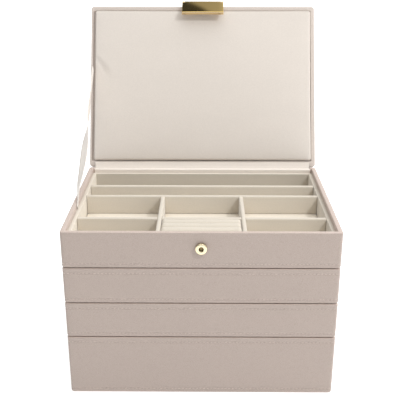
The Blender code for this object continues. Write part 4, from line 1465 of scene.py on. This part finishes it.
class ClaspSettings(bpy.types.PropertyGroup):
    """The clasp and the stud."""
    colour: a_colour("Gold colour", "Colour of the plating", (0.84, 0.60, 0.22))
    # Painted shade: the lip's colour darkens the flap's faces to the front.
    lip_painted_shade: a_colour("Lip colour", "Colour of the plating on the flap's lip", (0.58, 0.44, 0.26))
    gloss: a_share("Roughness", "Roughness of the plating", 0.05)
    plate: a_length("Plate thickness", "Thickness of the flap's plate", 0.0010)
    bend: a_length("Bend", "Softness of the bend at the flap's lip", 0.0008)
    crown: a_length("Flap crown", "How far the flap's middle stands out", 0.00003)
    bulge: a_length("Flap bulge", "How far the flap's middle stands out between its sides", 0.00022)
    # Painted highlight: the stud's colour is a paler gold that stands in for its bright reflection.
    stud_colour_and_painted_highlight: a_colour("Stud colour", "Colour of the stud's paler plating", (0.76, 0.67, 0.46))
    stud_mouth: a_length("Stud mouth", "Radius of the hole in the stud's ring", 0.0021)


class StageSettings(bpy.types.PropertyGroup):
    """Floor, light and camera."""
    floor_colour: a_colour("Floor colour", "Colour of the plain floor", (0.86, 0.86, 0.86))
    floor_glow: an_amount("Floor glow", "Strength of the light that the floor gives off", 0.55)
    key: bpy.props.FloatProperty(
        name="Key light", description="Power of the key light", subtype="POWER", default=4.9, min=0)
    key_size: a_length("Key size", "Width of the key light", 0.03)
    key_place: a_place("Key place", "Where the key light stands", (0.62, -0.56, 1.0))
    overhead: an_amount("Overhead light", "Strength of the broad light from above", 1.25)
    low_sky: an_amount("Low sky", "Brightness of the surroundings all round", 0.03)
    high_sky: an_amount("High sky", "Further brightness of the surroundings straight up", 0.5)
    right_sky: an_amount("Right side", "Further brightness of the surroundings on the right", 1.15)
    back_sky: an_amount("Back", "Further brightness of the surroundings low behind the box", 1.0)
    left_sky: an_amount("Left side", "Further brightness of the surroundings on the left", 0.05)
    place: a_place("Camera place", "Where the camera stands", (0.0035, -0.6686, 0.4236))
    pitch: an_angle("Camera pitch", "How far the camera looks down", 21.25)
    yaw: an_angle("Camera yaw", "How far the camera looks to the left", 0.455)
    lens: bpy.props.FloatProperty(
        name="Camera lens", description="Focal length", subtype="DISTANCE_CAMERA", default=64.9)


# Operators


class JEWELBOX_OT_wrapped_walls(bpy.types.Operator):
    """Make the four leatherette walls"""
    bl_idname = "jewel_box.wrapped_walls"
    bl_label = "Wrapped walls"

    def execute(self, context):
        for tier in TIERS:
            wrapped_wall(tier, context.scene.jewel_box_wrap)
        return {"FINISHED"}


class JEWELBOX_OT_stitching(bpy.types.Operator):
    """Make the stitched rows round the walls"""
    bl_idname = "jewel_box.stitching"
    bl_label = "Stitching"

    def execute(self, context):
        for tier in TIERS:
            stitching(tier, context.scene.jewel_box_wrap)
        return {"FINISHED"}


class JEWELBOX_OT_lining_walls(bpy.types.Operator):
    """Make the cream strips inside the walls"""
    bl_idname = "jewel_box.lining_walls"
    bl_label = "Lining strips"

    def execute(self, context):
        for tier in TIERS:
            lining_wall(tier, context.scene.jewel_box_lining)
        return {"FINISHED"}


class JEWELBOX_OT_floor_pads(bpy.types.Operator):
    """Make the padded floors"""
    bl_idname = "jewel_box.floor_pads"
    bl_label = "Floor pads"

    def execute(self, context):
        for tier in TIERS:
            floor_pad(tier, context.scene.jewel_box_lining)
        return {"FINISHED"}


class JEWELBOX_OT_partitions(bpy.types.Operator):
    """Make the lined dividers"""
    bl_idname = "jewel_box.partitions"
    bl_label = "Dividers"

    def execute(self, context):
        for tier in TIERS:
            for node in divider_nodes(tier):
                partition(node, context.scene.jewel_box_lining)
        return {"FINISHED"}


class JEWELBOX_OT_ring_rolls(bpy.types.Operator):
    """Make the padded ring rolls"""
    bl_idname = "jewel_box.ring_rolls"
    bl_label = "Ring rolls"

    def execute(self, context):
        count = sum(node.startswith("ring_roll_") for node in frame["nodes"])
        for number in range(1, count + 1):
            ring_roll(number, context.scene.jewel_box_lining)
        return {"FINISHED"}


class JEWELBOX_OT_lid_board(bpy.types.Operator):
    """Make the wrapped lid board"""
    bl_idname = "jewel_box.lid_board"
    bl_label = "Lid board"

    def execute(self, context):
        lid_board(context.scene.jewel_box_wrap)
        return {"FINISHED"}


class JEWELBOX_OT_lid_cushion(bpy.types.Operator):
    """Make the lid's padded lining"""
    bl_idname = "jewel_box.lid_cushion"
    bl_label = "Lid cushion"

    def execute(self, context):
        lid_cushion(context.scene.jewel_box_cushion)
        return {"FINISHED"}


class JEWELBOX_OT_hinge_cloth(bpy.types.Operator):
    """Make the cloth strips that join the lid to the tray"""
    bl_idname = "jewel_box.hinge_cloth"
    bl_label = "Hinge cloth"

    def execute(self, context):
        hinge_lining(context.scene.jewel_box_ribbon)
        hinge_spine(context.scene.jewel_box_ribbon)
        return {"FINISHED"}


class JEWELBOX_OT_stay_ribbon(bpy.types.Operator):
    """Make the ribbon that stops the lid"""
    bl_idname = "jewel_box.stay_ribbon"
    bl_label = "Stay ribbon"

    def execute(self, context):
        stay_ribbon(context.scene.jewel_box_ribbon)
        return {"FINISHED"}


class JEWELBOX_OT_clasp(bpy.types.Operator):
    """Make the clasp on the lid's front edge"""
    bl_idname = "jewel_box.clasp"
    bl_label = "Clasp"

    def execute(self, context):
        clasp_flap(context.scene.jewel_box_clasp)
        softened_copy("clasp_leaf", "clasp_back_plate", 0.00015, gold_finish())
        dress_node("clasp_pin", steel_finish())
        dress_node("clasp_magnet", steel_finish())
        return {"FINISHED"}


class JEWELBOX_OT_stud(bpy.types.Operator):
    """Make the stud that the clasp closes on"""
    bl_idname = "jewel_box.stud"
    bl_label = "Stud"

    def execute(self, context):
        stud(context.scene.jewel_box_clasp)
        dress_node("stud_post", steel_finish())
        dress_node("stud_washer", steel_finish())
        return {"FINISHED"}


class JEWELBOX_OT_boards(bpy.types.Operator):
    """Finish the base boards, the plinths and the felt under the stack"""
    bl_idname = "jewel_box.boards"
    bl_label = "Boards and felt"

    def execute(self, context):
        for node in frame["nodes"]:
            if node.endswith(("_base", "_plinth")):
                dress_node(node, board_finish())
        dress_node("deep_underfelt", felt_finish())
        return {"FINISHED"}


class JEWELBOX_OT_stage(bpy.types.Operator):
    """Make the plain floor, the light and the camera"""
    bl_idname = "jewel_box.stage"
    bl_label = "Stage"

    def execute(self, context):
        settings = context.scene.jewel_box_stage
        floor(settings)
        surroundings(settings)
        lamps(settings)
        camera(settings)
        return {"FINISHED"}


OPERATORS = (
    JEWELBOX_OT_stage,
    JEWELBOX_OT_wrapped_walls,
    JEWELBOX_OT_stitching,
    JEWELBOX_OT_lining_walls,
    JEWELBOX_OT_floor_pads,
    JEWELBOX_OT_partitions,
    JEWELBOX_OT_ring_rolls,
    JEWELBOX_OT_lid_board,
    JEWELBOX_OT_lid_cushion,
    JEWELBOX_OT_hinge_cloth,
    JEWELBOX_OT_stay_ribbon,
    JEWELBOX_OT_clasp,
    JEWELBOX_OT_stud,
    JEWELBOX_OT_boards,
)
SETTINGS = {
    "jewel_box_wrap": WrapSettings,
    "jewel_box_lining": LiningSettings,
    "jewel_box_cushion": CushionSettings,
    "jewel_box_ribbon": RibbonSettings,
    "jewel_box_clasp": ClaspSettings,
    "jewel_box_stage": StageSettings,
}


class JEWELBOX_PT_pieces(bpy.types.Panel):
    """Lists the pieces of the jewellery box and the sizes and colours that they are made with"""
    bl_idname = "JEWELBOX_PT_pieces"
    bl_label = "Jewellery Box"
    bl_space_type = "VIEW_3D"
    bl_region_type = "UI"
    bl_category = "Jewellery Box"

    def draw(self, context):
        for operator in OPERATORS:
            self.layout.operator(operator.bl_idname)
        for name, group in SETTINGS.items():
            box = self.layout.box()
            for setting in group.__annotations__:
                box.prop(getattr(context.scene, name), setting)


# Stage

# How high up, as the sine of the elevation, the light from behind starts to fade and is gone
BEHIND_ENDS = (0.45, 0.62)
# What the key light is aimed at, and the direction that the broad light comes from
AIM = (0.0, 0.02, 0.16)
OVERHEAD = (0.0, -0.08, 1.0)


def floor(settings):
    """A plain pale floor: one wide flat grid under the box, matt, a little uneven and lit from below."""
    reach = 30.0
    lines = np.linspace(-reach, reach, 5)
    x, y = np.meshgrid(lines, lines, indexing="ij")
    points = np.stack([x, y, np.full(x.shape, CAD_LOW[2])], -1)
    mesh = grid_mesh("plain_floor", points.transpose(1, 0, 2))
    placed("plain_floor", mesh)
    material, tree, shader, place = finish("floor_paint")
    tone = varied(tree, cloud(tree, place, 3, 2.0), settings.floor_colour, 0.005)
    tree.links.new(tone, shader.inputs["Base Color"])
    uniform(shader, {"Roughness": 0.9, "Specular IOR Level": 0.1, "Emission Color": WHITE,
                     "Emission Strength": settings.floor_glow})
    mesh.materials.append(material)


def surroundings(settings):
    """Soft surroundings: brighter straight up, to the sides and low behind, with one dark patch behind.

    Brightness is low + high max(z, 0) + right max(x, 0) + left max(-x, 0) for the direction (x, y, z),
    plus back max(y, 0) that fades out with z. The patch is what the polished flap reflects beside its
    bright part.
    """
    world = bpy.data.worlds.new("studio")
    world.use_nodes = True
    bpy.context.scene.world = world
    tree = world.node_tree
    backdrop = tree.nodes["Background"]
    way = tree.nodes.new("ShaderNodeTexCoord").outputs["Generated"]
    x, y, z = split(tree, way)
    up = counted(tree, "MAXIMUM", z, 0.0)
    sky = counted(tree, "MULTIPLY_ADD", up, settings.high_sky, settings.low_sky)
    right = counted(tree, "MULTIPLY", counted(tree, "MAXIMUM", x, 0.0), settings.right_sky)
    left = counted(tree, "MULTIPLY", counted(tree, "MINIMUM", x, 0.0), -settings.left_sky)
    behind = counted(tree, "MULTIPLY", counted(tree, "MAXIMUM", y, 0.0), settings.back_sky)
    behind = counted(tree, "MULTIPLY", behind, ranged(tree, z, *BEHIND_ENDS, 1.0, 0.0))
    lit = counted(tree, "ADD", counted(tree, "ADD", sky, behind), counted(tree, "ADD", right, left))
    elevation, azimuth = math.radians(54.8), math.radians(-13.8)
    radius, blur, left_over = math.radians(12), 0.004, 0.13
    level = math.cos(elevation)
    patch = (math.sin(azimuth) * level, math.cos(azimuth) * level, math.sin(elevation))
    near = dot(tree, way, patch)
    dimmed = ranged(tree, near, math.cos(radius + blur), math.cos(radius - blur), 1.0, left_over)
    tree.links.new(counted(tree, "MULTIPLY", lit, dimmed), backdrop.inputs["Strength"])
    backdrop.inputs["Color"].default_value = WHITE


def lamp(name, kind, energy, away):
    """A light that shines from the direction away."""
    light = bpy.data.lights.new(name, kind)
    light.energy = energy
    piece = placed(name, light)
    piece.rotation_euler = away.to_track_quat("Z", "Y").to_euler()
    return piece


def lamps(settings):
    """A small disc of light to the right of the camera and above it, and a broad one from above."""
    key = lamp("key_light", "AREA", settings.key, Vector(settings.key_place) - Vector(AIM))
    key.data.shape = "DISK"
    key.data.size = settings.key_size
    key.location = settings.key_place
    overhead = lamp("overhead_light", "SUN", settings.overhead, Vector(OVERHEAD))
    overhead.data.angle = math.radians(60)


def camera(settings):
    """The camera at the photograph's place and angle."""
    data = bpy.data.cameras.new("photo_camera")
    data.lens = settings.lens
    data.sensor_width = 36.0
    piece = placed("photo_camera", data)
    piece.location = settings.place
    piece.rotation_euler = (math.pi / 2 - settings.pitch, 0.0, settings.yaw)
    bpy.context.scene.camera = piece
    bpy.context.scene.view_settings.view_transform = "Standard"


def register():
    """Registers the settings, the operators and the panel."""
    for part in (*SETTINGS.values(), *OPERATORS, JEWELBOX_PT_pieces):
        bpy.utils.register_class(part)
    for name, group in SETTINGS.items():
        setattr(bpy.types.Scene, name, bpy.props.PointerProperty(type=group))


def unregister():
    """Removes the settings, the operators and the panel."""
    for name in SETTINGS:
        delattr(bpy.types.Scene, name)
    for part in (JEWELBOX_PT_pieces, *reversed(OPERATORS), *reversed(SETTINGS.values())):
        bpy.utils.unregister_class(part)


def main():
    """Registers everything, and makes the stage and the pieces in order."""
    register()
    bpy.ops.jewel_box.stage()
    bpy.ops.jewel_box.wrapped_walls()
    bpy.ops.jewel_box.stitching()
    bpy.ops.jewel_box.lining_walls()
    bpy.ops.jewel_box.floor_pads()
    bpy.ops.jewel_box.partitions()
    bpy.ops.jewel_box.ring_rolls()
    bpy.ops.jewel_box.lid_board()
    bpy.ops.jewel_box.lid_cushion()
    bpy.ops.jewel_box.hinge_cloth()
    bpy.ops.jewel_box.stay_ribbon()
    bpy.ops.jewel_box.clasp()
    bpy.ops.jewel_box.stud()
    bpy.ops.jewel_box.boards()


if __name__ == "__main__":
    main()
